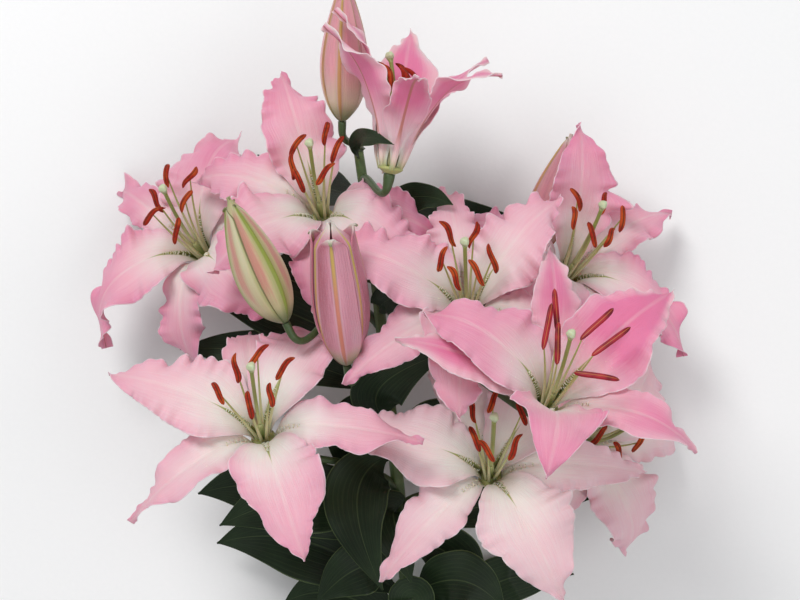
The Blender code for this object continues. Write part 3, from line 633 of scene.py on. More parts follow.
stem_tree = tree_of(frame["nodes"]["stem"].data)
along, across = blade_shares(LEAF_FINE_ROWS, LEAF_FINE_COLUMNS)
sides = np.repeat((1, 0), along.size * across.size)
for number, leaf in enumerate(LEAVES):

    def shape(ease):
        return on_surface(leaf_surface(leaf, ease, LEAF_ROWS, LEAF_COLUMNS))

    ease = as_built(leaf.name, shape, LEAF_EASES, slice(1, -1), slice(1, -1))
    points = leaf_surface(leaf, ease, LEAF_FINE_ROWS, LEAF_FINE_COLUMNS)
    draw = random.Random(number)
    turns, phase = draw.uniform(*LEAF_WAVES), draw.uniform(*WHOLE_TURN)
    wave = np.sin(turns * 2 * math.pi * along + phase * np.sign(across)) * across**2
    points += faced(points) * (LEAF_WAVE * wave * np.sin(math.pi * along))[..., None]
    points[LEAF_FOOT_ROWS:] = pressed_off(points[LEAF_FOOT_ROWS:], stem_tree, LEAF_GAP)
    vein = VEIN_HEIGHT * np.cos(2 * math.pi * LEAF_VEINS * across) * np.sin(math.pi * along)
    thick = LEAF_EDGE + LEAF_MIDRIB * ridge(across, LEAF_MIDRIB_WIDTH) * (1 - along)
    lift, drop = thick * LEAF_FRONT_SHARE + vein, thick * (1 - LEAF_FRONT_SHARE) - vein
    points, tone = on_surface(points), draw.random()
    made = Gathered()
    add_blade(made, points, lift, drop, along=along, across=across, front=sides, tone=tone)
    made.piece(leaf.name + "_blade", leaf_finish, "leaf", leaf.name)

# The tepals of the open blooms, three broad inner ones and three narrow outer ones round a
# short green receptacle. Each grew as one soft blade, thick and ribbed along its middle and thin
# at its frilled edge, cream white at its heart, with a green honey furrow at its foot.

RECEPTACLE_HEIGHT = 0.0050
RECEPTACLE_RADIUS = 0.0094
CUP_RINGS = 10
CUP_SIDES = 24
CUP_RIBS = 6
CUP_RIB_HEIGHT = 0.03
CUP_LIP = 0.25
CUP_LIP_START = (0.6, 0.4)
TEPAL_LENGTH = 0.124
TEPAL_STEPS = 240
TEPAL_ROWS = 6
TEPAL_COLUMNS = 4
TEPAL_FINE_ROWS = 130
TEPAL_FINE_COLUMNS = 32
INNER_WIDTH = 0.059
OUTER_WIDTH = 0.038
LOBES = (0.80, 1.12)
INNER_START = 0.0058
OUTER_START = 0.0073
OUTER_MORE_SPREAD = (4, 9, 0)
CLAW_SHARE = 0.14
CLAW_POWER = 2.2
WIDEST = 0.45
TIP_POWER = 1.1
TIP_ROUND = 1.1
TIP_HALF_WIDTH = 0.0008
TIP_END = 0.025
TIP_LEAST = 0.06
TIP_BOW = 6.0
TWIST = 22
OUTER_TWIST = 30
TRUMPET_SPREAD = 60
TRUMPET_NARROWER = 0.28
HUG_SHORTER = 0.45
LEAST_BOW = 1e-3
GROOVE = 0.0016
GROOVE_WIDTH = 0.2
FIRST_TURN = (0.04, 0.44)
SECOND_TURN = (0.42, 0.58)
CRESTS = (0.45, 1.2)
RUFFLE = 0.0060
OUTER_RUFFLE = 0.75
RUFFLE_START = 0.22
RUFFLE_GROWTH = 0.25
RUFFLE_TIP_LESS = 0.35
TEPAL_EDGE = 0.00045
TEPAL_BODY = 0.0003
TEPAL_RIB = 0.0014
TEPAL_RIB_WIDTH = 0.0016
TEPAL_RIB_TIP_LESS = 0.8
FURROW_DEPTH = 0.0005
FURROW_WIDTH = 0.0013
FURROW_END = 0.34
FURROW_FADES = 0.1
CREASE_DEPTH = 0.0005
CREASE_WIDTH = 0.0011
TONE_DIFFERS = 0.08
DEEP_TEPAL = ("bloom_right", 0)
DEEPER = 0.34

# How far the tepals are pressed off the buds and the stem, and the one bloom whose tepals curl
# past the bud beside them instead.
BUD_GAP = 0.0022
STALK_GAP = 0.0013
CURLS_PAST = ("bloom_far_right", "bud_far_right")

# The frill on top of the broad waves. Each of its ripples has a length, a height, how much wider
# it makes the tepal, and a power: the higher it is, the nearer to the edge the ripple stays.
Ripple = namedtuple("Ripple", "length height reach power")
FRILL = (
    Ripple(0.024, 0.0024, 0.0018, 3.0),
    Ripple(0.0135, 0.0020, 0.0011, 3.5),
    Ripple(0.0075, 0.0009, 0.0004, 5.0),
)
FRILL_GROWTH = 0.2
FRILL_ENDS = (0.94, 0.06)
FRILL_PACE = (0.7, 1.2)
FRILL_WOBBLE = 1.9
FRILL_WOBBLES = (7, 13)
FRILL_SWELL = (0.65, 0.55)
FRILL_SWELLS = (9, 16)
SCALLOP_TURN = 0.7
SCALLOP_POWER = 1.2

CREAM = (0.83, 0.76, 0.70)
BLUSH = (0.83, 0.59, 0.61)
PINK = (0.81, 0.42, 0.50)
ROSE = (0.73, 0.19, 0.35)
PETAL_DEEP = (0.64, 0.11, 0.22)
# The pale colour below is a painted highlight, laid along the very edge of each tepal where its frill
# catches the light.
PETAL_RIM_HIGHLIGHT = (0.90, 0.80, 0.80)
PETAL_GREEN = (0.30, 0.34, 0.05)
# The near-black olive below is painted shade for the deepest part of the honey furrow near the throat.
FURROW_PAINTED_SHADE = (0.09, 0.10, 0.015)
PETAL_BASE = (0.70, 0.72, 0.48)
PETAL_BACK_RIB = (0.46, 0.16, 0.11)

# The ways that a tepal may have given way to what is beside it, from none to much: how far
# its middle and its tip open, in degrees, how far it swings sideways, as a share of its
# length, and how much shorter it is.
TEPAL_OPENS = (0, -9, 9, -18, 18, -27, 27)
TEPAL_CURLS = (0, -25, 25, -50)
TEPAL_SWINGS = (0, -0.1, 0.1, -0.2, 0.2)
TEPAL_SHRINKS = (1, 0.85)
TEPAL_EASES = sorted(
    product(TEPAL_OPENS, TEPAL_CURLS, TEPAL_SWINGS, TEPAL_SHRINKS),
    key=lambda ease: abs(ease[0]) / 9 + abs(ease[1]) / 20 + abs(ease[2]) / 0.08 + (1 - ease[3]) / 0.05,
)

Tepal = namedtuple("Tepal", "azimuth length width start spread twist swing ruffle crests lobes")


def frame_at(seat, faces):
    """Matrix from a bloom's or bud's own axes, with its face along +Z, to the lily's."""
    ahead = Vector(faces).normalized()
    right = Vector((0, 1, 0)).cross(ahead).normalized()
    turn = Matrix((right, ahead.cross(right), ahead)).transposed().to_4x4()
    return Matrix.Translation(placed(seat)) @ turn


def moved(points, matrix):
    array = np.array(matrix)
    return points @ array[:3, :3].T + array[:3, 3]


def tepals_of(bloom, seed):
    """The bloom's six tepals, the broad inner ones first, each with its own small differences."""
    draw = random.Random(seed)
    base, middle, tip = bloom.spread
    full = 1 - TRUMPET_NARROWER * (1 - min(middle / TRUMPET_SPREAD, 1))
    made = []
    for number, turn in enumerate(bloom.turns):
        inner = number < 3
        more_open, more_curled, more_twist, more_swing = bloom.bends.get(number, (0, 0, 0, 0))
        broad, twist = (INNER_WIDTH, TWIST) if inner else (OUTER_WIDTH, OUTER_TWIST)
        signs = [(-1) ** (row + number) for row in range(TEPAL_ROWS + 1)]
        crests = [[sign * side * draw.uniform(*CRESTS) for sign in signs] for side in (1, -1)]
        outline = random.Random(10 * seed + number)
        lobes = [[outline.uniform(*LOBES) for _ in signs] for _ in (1, -1)]
        made.append(
            Tepal(
                azimuth=bloom.roll + 120 * number + (0 if inner else 60) + turn + draw.uniform(-4, 4),
                length=TEPAL_LENGTH * bloom.size * draw.uniform(0.96, 1.03),
                width=broad * bloom.size * full * draw.uniform(0.95, 1.05),
                start=INNER_START if inner else OUTER_START,
                spread=np.add(
                    (
                        base,
                        middle + draw.uniform(-5, 5) + more_open,
                        tip + draw.uniform(-20, 20) + more_curled,
                    ),
                    (0, 0, 0) if inner else OUTER_MORE_SPREAD,
                ),
                twist=draw.uniform(-1, 1) * twist + more_twist,
                swing=draw.uniform(-0.05, 0.05) + more_swing,
                ruffle=RUFFLE * bloom.ruffle * (1 if inner else OUTER_RUFFLE),
                crests=crests,
                lobes=lobes,
            )
        )
    return made


def warp(along, count):
    """along, eased between each pair of count nodes, so that a line through them turns smooth."""
    place = along * (count - 1)
    whole = np.floor(place)
    return (whole + smooth(place - whole)) / (count - 1)


def frill_of(tepal, draw, along, across):
    """How far each point of a tepal is lifted by its frill, and how much wider it is there."""
    ended = smooth((along - FRILL_ENDS[0]) / FRILL_ENDS[1])
    grown = smooth((along - RUFFLE_START) / FRILL_GROWTH) * (1 - ended)
    lift, wider = 0, 0
    for side in (-1, 1):
        edge = np.clip(across * side, 0, 1)
        for ripple in FRILL:
            phase, pace = draw.uniform(*WHOLE_TURN), draw.uniform(*FRILL_PACE)
            wobble = FRILL_WOBBLE * np.sin(along * draw.uniform(*FRILL_WOBBLES) + phase)
            swell = np.sin(along * draw.uniform(*FRILL_SWELLS) + 2 * phase)
            swell = FRILL_SWELL[0] + FRILL_SWELL[1] * swell
            turn = 2 * math.pi * along * tepal.length / ripple.length * pace + phase + wobble
            lift = lift + ripple.height * grown * swell * np.sin(turn) * edge**ripple.power
            scallop = 1 - 2 * (1 - np.abs(np.sin(turn / 2 + SCALLOP_TURN))) ** SCALLOP_POWER
            wider = wider + side * ripple.reach * grown * swell * scallop * edge**ripple.power
    strength = tepal.ruffle / RUFFLE * smooth(tepal.spread[1] / TRUMPET_SPREAD)
    return lift * strength, wider * strength


def tepal_surface(tepal, ease, rows, columns, draw=None):
    """Points of a tepal's middle surface in its bloom's frame, frilled where a draw is given."""
    fine = np.linspace(0, 1, TEPAL_STEPS + 1)
    more_open, more_curled, more_swing, shrink = ease
    base, middle, tip = np.radians(np.add(tepal.spread, (0, more_open, more_open + more_curled)))
    length = tepal.length * shrink
    lean = base + (middle - base) * smooth((fine - FIRST_TURN[0]) / FIRST_TURN[1])
    lean += (tip - middle) * smooth((fine - SECOND_TURN[0]) / SECOND_TURN[1])
    step = length / TEPAL_STEPS
    half_way = (lean[1:] + lean[:-1]) / 2
    out = tepal.start + step * np.concatenate(([0], np.cumsum(np.sin(half_way))))
    up = RECEPTACLE_HEIGHT / 2 + step * np.concatenate(([0], np.cumsum(np.cos(half_way))))

    along, across = blade_shares(rows, columns)
    lean, out, up = (np.interp(along, fine, values) for values in (lean, out, up))
    lift, wider = frill_of(tepal, draw, along, across) if draw else (0, 0)

    before = np.clip(along / WIDEST, 0, 1)
    beyond = np.clip((along - WIDEST) / (1 - WIDEST), 0, 1)
    widen = CLAW_SHARE + (1 - CLAW_SHARE) * np.sin(math.pi / 2 * before) ** CLAW_POWER
    narrow = np.cos(math.pi / 2 * beyond**TIP_POWER) ** TIP_ROUND
    nodes = np.linspace(0, 1, len(tepal.crests[0]))
    place = warp(along, len(nodes))
    fullness = 1
    for side, lobes in zip((-1, 1), tepal.lobes):
        fullness = fullness + np.clip(across * side, 0, 1) * (np.interp(place, nodes, lobes) - 1)
    rounded = np.clip((1 - along) / TIP_END, TIP_LEAST, 1) ** 0.5 if draw else 1
    half_width = np.maximum(tepal.width / 2 * widen * narrow, TIP_HALF_WIDTH) * rounded
    reach = across * fullness * half_width + wider

    hug_end = 1 - HUG_SHORTER * min(math.degrees(middle) / TRUMPET_SPREAD, 1)
    hug = (1 - smooth(along / hug_end)) / np.maximum(out, tepal.start)
    bow = hug - TIP_BOW * smooth(2 * along - 1) + LEAST_BOW
    sideways = np.sin(bow * reach) / bow
    inward = (1 - np.cos(bow * reach)) / bow + lift

    for side, crests in zip((-1, 1), tepal.crests):
        height = np.interp(place, nodes, crests)
        edge = np.clip(across * side, 0, 1) ** 2
        size = smooth((along - RUFFLE_START) / RUFFLE_GROWTH) * (1 - RUFFLE_TIP_LESS * along)
        inward = inward + tepal.ruffle * size * height * edge
    groove = ridge(across, GROOVE_WIDTH) * smooth(along * 10) * (1 - along)
    inward = inward - GROOVE * groove

    roll = np.radians(tepal.twist) * along**2
    sideways, inward = (
        sideways * np.cos(roll) - inward * np.sin(roll),
        sideways * np.sin(roll) + inward * np.cos(roll),
    )
    swing = (tepal.swing + more_swing) * length * along**2
    outward, upward = out - inward * np.cos(lean), up + inward * np.sin(lean)
    points = np.stack((outward, sideways + swing, upward), axis=-1)
    return moved(points, Matrix.Rotation(math.radians(tepal.azimuth), 4, "Z"))


petal_look = Look(
    "petal",
    {
        "Roughness": 0.5,
        "Specular IOR Level": 0.35,
        "Subsurface Weight": 0.3,
        "Subsurface Radius": (1.0, 0.45, 0.40),
        "Subsurface Scale": 0.004,
        "Sheen Weight": 0.15,
    },
)
where = petal_look.where()
along, across, off = map(petal_look.reading, ("along", "across", "off"))
front, inner, tone = map(petal_look.reading, ("front", "inner", "tone"))
edge = abs(across)
fan = edge - along * 0.55
vein = petal_look.noise(petal_look.place(fan * 26, along * 3, across * 2 + tone * 5), 1.6, 3.0)
blotch = petal_look.noise(where, 45.0, 3.0)
crystal = petal_look.noise(where, 2200.0, 1.0)
reach = along + edge * edge * 0.22
pink = reach.rise(0.22, 0.70) * (tone * 0.75 + 0.22) + along.rise(0.55, 1.0) * 0.16 + tone * 0.16
pink = pink + edge.rise(0.35, 1.0) * (1 - along * 0.7) * (0.12 + tone * 0.20)
pink = pink + (vein - 0.5) * 0.34 + (blotch - 0.5) * 0.20 - 0.06 + (1 - front) * (0.22 - along * 0.25)
fresh = tone.rise(0.58, 0.78)
pink = pink + fresh * ((1 - edge.rise(0.10, 0.75)) * 0.22 - edge.rise(0.45, 1.0) * 0.50)
pink = pink - fresh * along.rise(0.6, 1.0) * 0.4
colour = petal_look.ramp(pink, ((0.0, CREAM), (0.30, BLUSH), (0.60, PINK), (1.0, ROSE)))
colour = colour.mix(PETAL_DEEP, pink.rise(1.15, 1.60) * 0.6)
stripe = abs(off).rise(0.0020, 0.0004) * along.rise(0.25, 0.45) * (1 - along * 0.6)
colour = colour.mix(CREAM, stripe * front * 0.30)
back_rib = abs(off).rise(0.0011, 0.0004) * (1 - front) * along.rise(0.12, 0.3)
colour = colour.mix(PETAL_BACK_RIB, back_rib * 0.85)
colour = colour.mix(PETAL_BASE, along.rise(0.20, 0.02) * 0.6)
furrow = (abs(off) + along * 0.0085).rise(0.0037, 0.0029) * front * inner
colour = colour.mix(PETAL_GREEN, furrow * 0.9 + along.rise(0.09, 0.0) * (1 - front) * 0.8)
# Painted shade: the middle of the honey furrow near the throat goes near-black olive, as the shade in
# its deepest part.
deep = furrow * (abs(off) * 1.6 + along * 0.014).rise(0.0044, 0.0018)
colour = colour.mix(FURROW_PAINTED_SHADE, deep * 0.85)
# Painted highlight: the very edge of each tepal is paled, as where its frill catches the light.
colour = colour.mix(PETAL_RIM_HIGHLIGHT, edge.rise(0.965, 0.995) * 0.5)
petal_finish = petal_look.finish(colour, vein * 0.8 + crystal * 0.35, 0.0004)

along, across = blade_shares(TEPAL_FINE_ROWS, TEPAL_FINE_COLUMNS)
sides = np.repeat((1, 0), along.size * across.size)
tepal_middles = {}
beside_petals = {bud.name: (tree_of(frame["nodes"][bud.name].data), BUD_GAP) for bud in BUDS}
beside_petals["stem"] = (stem_tree, STALK_GAP)
for seed, bloom in enumerate(BLOOMS, 1):
    bloom_frame = frame_at(bloom.seat, bloom.faces)
    made = Gathered()
    for number, tepal in enumerate(tepals_of(bloom, seed)):

        def shape(ease):
            middle = tepal_surface(tepal, ease, TEPAL_ROWS, TEPAL_COLUMNS)
            return on_surface(moved(middle, bloom_frame))

        ease = as_built(bloom.name + "_tepals", shape, TEPAL_EASES, slice(2, -1), slice(1, -1))
        draw = random.Random(1000 * seed + number)
        middle = tepal_surface(tepal, ease, TEPAL_FINE_ROWS, TEPAL_FINE_COLUMNS, draw)
        middle = moved(middle, bloom_frame)
        for beside, (tree, gap) in beside_petals.items():
            if (bloom.name, beside) != CURLS_PAST:
                middle = pressed_off(middle, tree, gap)
        middle = on_surface(middle)
        off = across * np.linalg.norm(middle[:, -1] - middle[:, 0], axis=1)[:, None] / 2
        rib = ridge(off, TEPAL_RIB_WIDTH) * (1 - TEPAL_RIB_TIP_LESS * along)
        furrow = ridge(off, FURROW_WIDTH) * smooth((FURROW_END - along) / FURROW_FADES)
        furrow = furrow * smooth(along * 20)
        crease = ridge(off, CREASE_WIDTH) * smooth(along * 4) * (1 - along)
        thick = TEPAL_EDGE / 2 + TEPAL_BODY * (1 - np.abs(across))
        lift, drop = thick - FURROW_DEPTH * furrow - CREASE_DEPTH * crease, thick + TEPAL_RIB * rib
        tone = bloom.tone + draw.uniform(-TONE_DIFFERS, TONE_DIFFERS)
        tone = tone + DEEPER * ((bloom.name, number) == DEEP_TEPAL)
        add_blade(
            made, middle, lift, drop,
            along=along, across=across, off=off, front=sides, tone=tone, inner=float(number < 3),
        )
        tepal_middles[bloom.name, number] = middle
    shares = np.linspace(0, 1, CUP_RINGS)
    cup = [bloom_frame @ Vector((0, 0, RECEPTACLE_HEIGHT * share)) for share in shares]
    lip = 1 - CUP_LIP * smooth((shares - CUP_LIP_START[0]) / CUP_LIP_START[1])
    swell = np.sin(math.pi / 2 * shares) * lip
    radii = PEDICEL_END_RADIUS + (RECEPTACLE_RADIUS - PEDICEL_END_RADIUS) * swell
    add_rod(
        made, cup, radii, CUP_SIDES, CUP_RIBS, CUP_RIB_HEIGHT,
        along=0, across=0, off=1, front=0, tone=0, inner=0,
    )
    made.piece(bloom.name + "_petals", petal_finish, "petal", bloom.name + "_tepals")

# The papillae, soft fleshy hairs that grew out of the tepals' faces. They stand like a comb
# along both sides of the honey furrow, green at the root and white at the tip, and thin out
# into low warts over the white heart.

COMB_HEIGHT = 0.0026
WART_HEIGHT = 0.0008
COMB_TEETH = 13
WARTS = 30
PAPILLA_SIDES = 5
PAPILLA_RINGS = (0, 0.75, 1)
PAPILLA_THINS = (1, 0.6, 0.2)
PAPILLA_RADIUS = 0.00028
PAPILLA_STOUTER = 0.05
PAPILLA_LEAN = 0.3
COMB_START = 0.10
COMB_SHARE = 0.20
COMB_BORDER = 0.0035
COMB_CLOSES = 0.0083
COMB_LEANS_IN = 0.9
WARTS_ALONG = (0.14, 0.46)
WARTS_OFF = (0.003, 0.015)
WART_PALE = 0.8
WART_LEANS_IN = 0.5
PAPILLA_GREEN = (0.50, 0.52, 0.16)
PAPILLA_WHITE = (0.86, 0.80, 0.66)

papilla_look = Look(
    "papilla", {"Roughness": 0.4, "Subsurface Weight": 0.2, "Subsurface Scale": 0.002}
)
rise = papilla_look.reading("rise")
grain = papilla_look.noise(papilla_look.where(), 1800.0)
colour = papilla_look.mix(PAPILLA_GREEN, PAPILLA_WHITE, rise.rise(0.0, 0.5) + (grain - 0.5) * 0.2)
papilla_finish = papilla_look.finish(colour, grain, 0.00005)

for seed, bloom in enumerate(BLOOMS, 1):
    draw = random.Random(500 + seed)
    made = Gathered()
    for number in range(6):
        middle = tepal_middles[bloom.name, number]
        normals = faced(middle)
        teeth, warts = (COMB_TEETH, WARTS) if number < 3 else (COMB_TEETH // 2, WARTS // 2)
        spots = []
        for tooth in range(teeth):
            for side in (-1, 1):
                along = COMB_START + COMB_SHARE * (tooth + draw.uniform(0.2, 0.8)) / teeth
                off = side * (COMB_BORDER - COMB_CLOSES * along) * draw.uniform(0.9, 1.3)
                spots.append((along, off, COMB_HEIGHT * draw.uniform(0.6, 1), 0))
        for _ in range(warts):
            along, side = draw.uniform(*WARTS_ALONG), draw.choice((-1, 1))
            off = side * draw.uniform(*WARTS_OFF)
            spots.append((along, off, WART_HEIGHT * draw.uniform(0.4, 1), WART_PALE))
        for along, off, height, pale in spots:
            row = int(round(along * TEPAL_FINE_ROWS))
            half = np.linalg.norm(middle[row, -1] - middle[row, 0]) / 2
            if abs(off) > 0.8 * half:
                continue
            column = int(round((off / half + 1) / 2 * TEPAL_FINE_COLUMNS))
            root, up = Vector(middle[row, column]), Vector(normals[row, column])
            lean = Vector([draw.uniform(-PAPILLA_LEAN, PAPILLA_LEAN) for _ in range(3)])
            inward = (Vector(middle[row, TEPAL_FINE_COLUMNS // 2]) - root).normalized()
            inward = inward * (WART_LEANS_IN if pale else COMB_LEANS_IN)
            radius = PAPILLA_RADIUS + height * PAPILLA_STOUTER
            tip = root + (up + lean + inward) * height
            line = [root.lerp(tip, share) for share in PAPILLA_RINGS]
            radii = [radius * share for share in PAPILLA_THINS]
            add_rod(made, line, radii, PAPILLA_SIDES, rise=np.maximum(PAPILLA_RINGS, pale))
    made.piece(bloom.name + "_papillae", papilla_finish, "petal")

# The stamens, six to a bloom. Each grew as a pale green filament that thins towards its end,
# with an anther hung across it by its middle. Ripe anthers are furred with rust red pollen; in
# the bloom that has just opened they are longer, smooth and wine red, with a yellow seam.

FILAMENT_LENGTH = 0.070
FILAMENT_FOOT_RADIUS = 0.0013
FILAMENT_TIP_RADIUS = 0.00045
FILAMENT_RING = 0.0036
FILAMENT_LEAN = (8, 19)
FILAMENT_BOW = 0.4
FILAMENT_BEND = 0.012
FILAMENT_STEPS = 16
FILAMENT_SIDES = 10
FILAMENT_TURN = 9
OPEN_SPREAD = 80
CLOSED_SHARE = 0.2
ANTHER_LENGTH = 0.019
ANTHER_RADIUS = 0.001848
ANTHER_LOBES = 0.10
ANTHER_TAPER = 0.25
SEAM_WIDTH = 0.38
SEAM_DEPTH = 0.30
ANTHER_TILT = 40
ANTHER_RISE = (-0.25, 0.45)
ANTHER_CLOSED_RISE = 2
ANTHER_STEPS = 20
ANTHER_SIDES = 16
ANTHER_SAG = 0.0035
ANTHER_SWAY = 0.0022
ANTHER_STRAIGHTENS = (0, 0.3, 0.6, 0.8, 0.95)
UNRIPE_LENGTH = 0.030
UNRIPE_SAG = 0.0008
UNRIPE_AIMS = (38, 92, 76, 86, -18, 32)
UNRIPE_RISE = 0.3
UNRIPE_HANG = 0.42
UNRIPE_STRAIGHTER = 0.7
UNRIPE_BLOOM = "bloom_right"
DISC_RADIUS = 0.0045
DISC_HEIGHT = 0.0015
DISC_TOP_SHARE = 0.85
DISC_SIDES = 24
DISC_RIBS = 6
DISC_RIB_HEIGHT = 0.06
FILAMENT_GREEN = (0.36, 0.38, 0.10)
FILAMENT_PALE = (0.66, 0.64, 0.38)
POLLEN_RUST = (0.36, 0.020, 0.005)
# The bright orange below is partly the pollen's own colour and partly a painted highlight.
POLLEN_ORANGE_HIGHLIGHT = (0.58, 0.10, 0.014)
# The near-black below is painted shade, laid in the hollows between the pollen clumps.
POLLEN_DARK_SHADE = (0.13, 0.007, 0.003)
POLLEN_OLIVE = (0.075, 0.020, 0.005)
ANTHER_WINE = (0.36, 0.012, 0.024)
ANTHER_DARK_WINE = (0.15, 0.003, 0.010)
ANTHER_SEAM = (0.62, 0.24, 0.06)

filament_look = Look(
    "filament", {"Roughness": 0.35, "Subsurface Weight": 0.2, "Subsurface Scale": 0.002}
)
along = filament_look.reading("along")
grain = filament_look.noise(filament_look.where(), 700.0)
pale = along.rise(0.9, 0.2) + (grain - 0.5) * 0.4
colour = filament_look.mix(FILAMENT_GREEN, FILAMENT_PALE, pale)
filament_finish = filament_look.finish(colour, grain, 0.00006)

anther_look = Look("anther", {"Specular IOR Level": 0.3})
where = anther_look.where()
seam, unripe = map(anther_look.reading, ("seam", "unripe"))
pollen = anther_look.noise(where, 2600.0, 3.0)
clump = anther_look.noise(where, 500.0, 2.0)
patch = anther_look.noise(where, 110.0, 1.0)
# Painted shade: the rust goes near black where the pollen noise is low, mostly the low places of its
# furred bump.
rust = anther_look.mix(POLLEN_DARK_SHADE, POLLEN_RUST, (clump * 0.6 + pollen * 0.5).rise(0.34, 0.60))
# Partly painted highlight: random patches of the rust go bright orange.
rust = rust.mix(POLLEN_ORANGE_HIGHLIGHT, patch.rise(0.44, 0.66) * 0.6)
rust = rust.mix(POLLEN_OLIVE, seam.rise(0.35, 0.75) * 0.85)
wine = anther_look.mix(ANTHER_DARK_WINE, ANTHER_WINE, patch.rise(0.30, 0.65))
wine = wine.mix(ANTHER_SEAM, seam.rise(0.76, 0.95))
colour = rust.mix(wine, unripe)
furred = (pollen + clump) * (1 - unripe * 0.9)
anther_finish = anther_look.finish(colour, furred, 0.0004, 0.85 - unripe * 0.45)


def stamen_lines(bloom, seed, steps):
    """For each stamen of the bloom, the filament's points and the anther's middle and direction."""
    draw = random.Random(seed)
    spread = CLOSED_SHARE + (1 - CLOSED_SHARE) * min(bloom.spread[1], OPEN_SPREAD) / OPEN_SPREAD
    for number in range(6):
        turn = draw.uniform(-FILAMENT_TURN, FILAMENT_TURN)
        azimuth = math.radians(bloom.roll + 30 + 60 * number + turn)
        lean = math.radians(draw.uniform(*FILAMENT_LEAN)) * spread
        length = FILAMENT_LENGTH * bloom.size * draw.uniform(0.92, 1.04)
        points = []
        for share in np.linspace(0, 1, steps):
            bow = 1 - FILAMENT_BOW * (1 - share)
            out = FILAMENT_RING + length * share * math.sin(lean) * bow
            up = RECEPTACLE_HEIGHT + SEAT_GAP + DISC_HEIGHT / 2 + length * share * math.cos(lean)
            bend = FILAMENT_BEND * spread * share**2
            points.append(Vector((out * math.cos(azimuth), out * math.sin(azimuth) + bend, up)))
        tilt = math.radians(draw.uniform(-ANTHER_TILT, ANTHER_TILT))
        rise = draw.uniform(*ANTHER_RISE) + ANTHER_CLOSED_RISE * (1 - spread)
        along = Vector((math.sin(tilt), math.cos(tilt), rise)).normalized()
        yield points, along


def anther(middle, along, length, radius, sag, sway):
    """Points and faces of an anther that sags and sways, and how near each point is to its seam."""
    share = np.linspace(-1, 1, ANTHER_STEPS + 1)[:, None, None]
    angle = np.linspace(0, 2 * math.pi, ANTHER_SIDES, endpoint=False)[None, :, None]
    ahead = np.array(along)
    up = np.array(Vector((0, 0, 1)) - along * along.z)
    up /= np.linalg.norm(up)
    right = np.cross(ahead, up)
    near_seam = ridge(angle - math.pi / 2, SEAM_WIDTH) * np.ones_like(share)
    lobed = 1 + ANTHER_LOBES * np.cos(2 * angle) - SEAM_DEPTH * near_seam
    tapered = 1 - ANTHER_TAPER * share * sway / ANTHER_SWAY
    thick = radius * np.clip(1 - np.abs(share) ** 5, 0.02, 1) ** 0.5 * tapered * lobed
    centre = np.array(middle) + ahead * length / 2 * share - up * sag * (share**2 - 0.15)
    centre = centre + right * sway * share * (1.6 * share**2 - 0.6 + 0.5 * share)
    points = centre + thick * (right * np.cos(angle) + up * np.sin(angle))
    count = points.shape[0] * points.shape[1]
    number = np.arange(count).reshape(points.shape[:2])
    after = np.roll(number, -1, axis=1)
    quads = np.stack((number[:-1], after[:-1], after[1:], number[1:]), -1)
    faces = quads.reshape(-1, 4)[:, ::-1].tolist()
    faces += [number[0].tolist(), number[-1, ::-1].tolist()]
    return points.reshape(-1, 3), faces, near_seam[..., 0].ravel()


for seed, bloom in enumerate(BLOOMS, 101):
    bloom_frame = frame_at(bloom.seat, bloom.faces)
    draw = random.Random(seed + 900)
    unripe = bloom.name == UNRIPE_BLOOM
    petals = tree_of(bpy.data.objects[bloom.name + "_petals"].data)
    filaments, anthers = Gathered(), Gathered()
    for number, (points, along) in enumerate(stamen_lines(bloom, seed, FILAMENT_STEPS)):
        world = [bloom_frame @ point for point in points]
        radii = np.linspace(FILAMENT_FOOT_RADIUS, FILAMENT_TIP_RADIUS, FILAMENT_STEPS)
        add_rod(filaments, world, radii, FILAMENT_SIDES, along=np.linspace(0, 1, FILAMENT_STEPS))
        length, sag = (UNRIPE_LENGTH, UNRIPE_SAG) if unripe else (ANTHER_LENGTH, ANTHER_SAG)
        if unripe:
            aim = math.radians(UNRIPE_AIMS[number])
            along = Vector((math.cos(aim), math.sin(aim), UNRIPE_RISE)).normalized()
        length, sag = length * draw.uniform(0.92, 1.1), sag * draw.uniform(0.2, 1.3)
        sway = ANTHER_SWAY * draw.uniform(-1, 1) * (1 - UNRIPE_STRAIGHTER * unripe)
        for straighter in ANTHER_STRAIGHTENS:
            hung = along.lerp(Vector((0, 0, 1)), straighter).normalized()
            middle = points[-1] + hung * length * UNRIPE_HANG * unripe
            skin, faces, near_seam = anther(middle, hung, length, ANTHER_RADIUS, sag, sway)
            skin = moved(skin, bloom_frame)
            if not petals.overlap(BVHTree.FromPolygons(skin.tolist(), faces)):
                break
        anthers.add(skin, faces, seam=near_seam, unripe=float(unripe))
    bottom = RECEPTACLE_HEIGHT + SEAT_GAP
    disc = [bloom_frame @ Vector((0, 0, bottom + DISC_HEIGHT * share)) for share in (0, 0.5, 1)]
    radii = [DISC_RADIUS, DISC_RADIUS, DISC_RADIUS * DISC_TOP_SHARE]
    add_rod(filaments, disc, radii, DISC_SIDES, DISC_RIBS, DISC_RIB_HEIGHT, along=1)
    filaments.piece(bloom.name + "_filaments", filament_finish, "stamen", bloom.name + "_stamens")
    anthers.piece(bloom.name + "_anthers", anther_finish, "stamen")

# The pistil in the middle of each bloom, which grew as one piece: a green ovary with six ribs,
# a long style that bends up a little, greener towards its end, and a stigma of three pale moist
# lobes.

PISTIL_LENGTH = 0.082
PISTIL_BEND = 0.016
PISTIL_PROFILE = (
    (0, 0.0019),
    (0.2, 0.0021),
    (0.26, 0.0012),
    (0.92, 0.0014),
    (0.965, 0.0032),
    (1, 0.0024),
)
PISTIL_SIDES = 24
OVARY_END = 0.24
STIGMA_START = 0.935
STIGMA_ROUNDS = (1.02, 0.03)
STIGMA_LEAST = 0.2

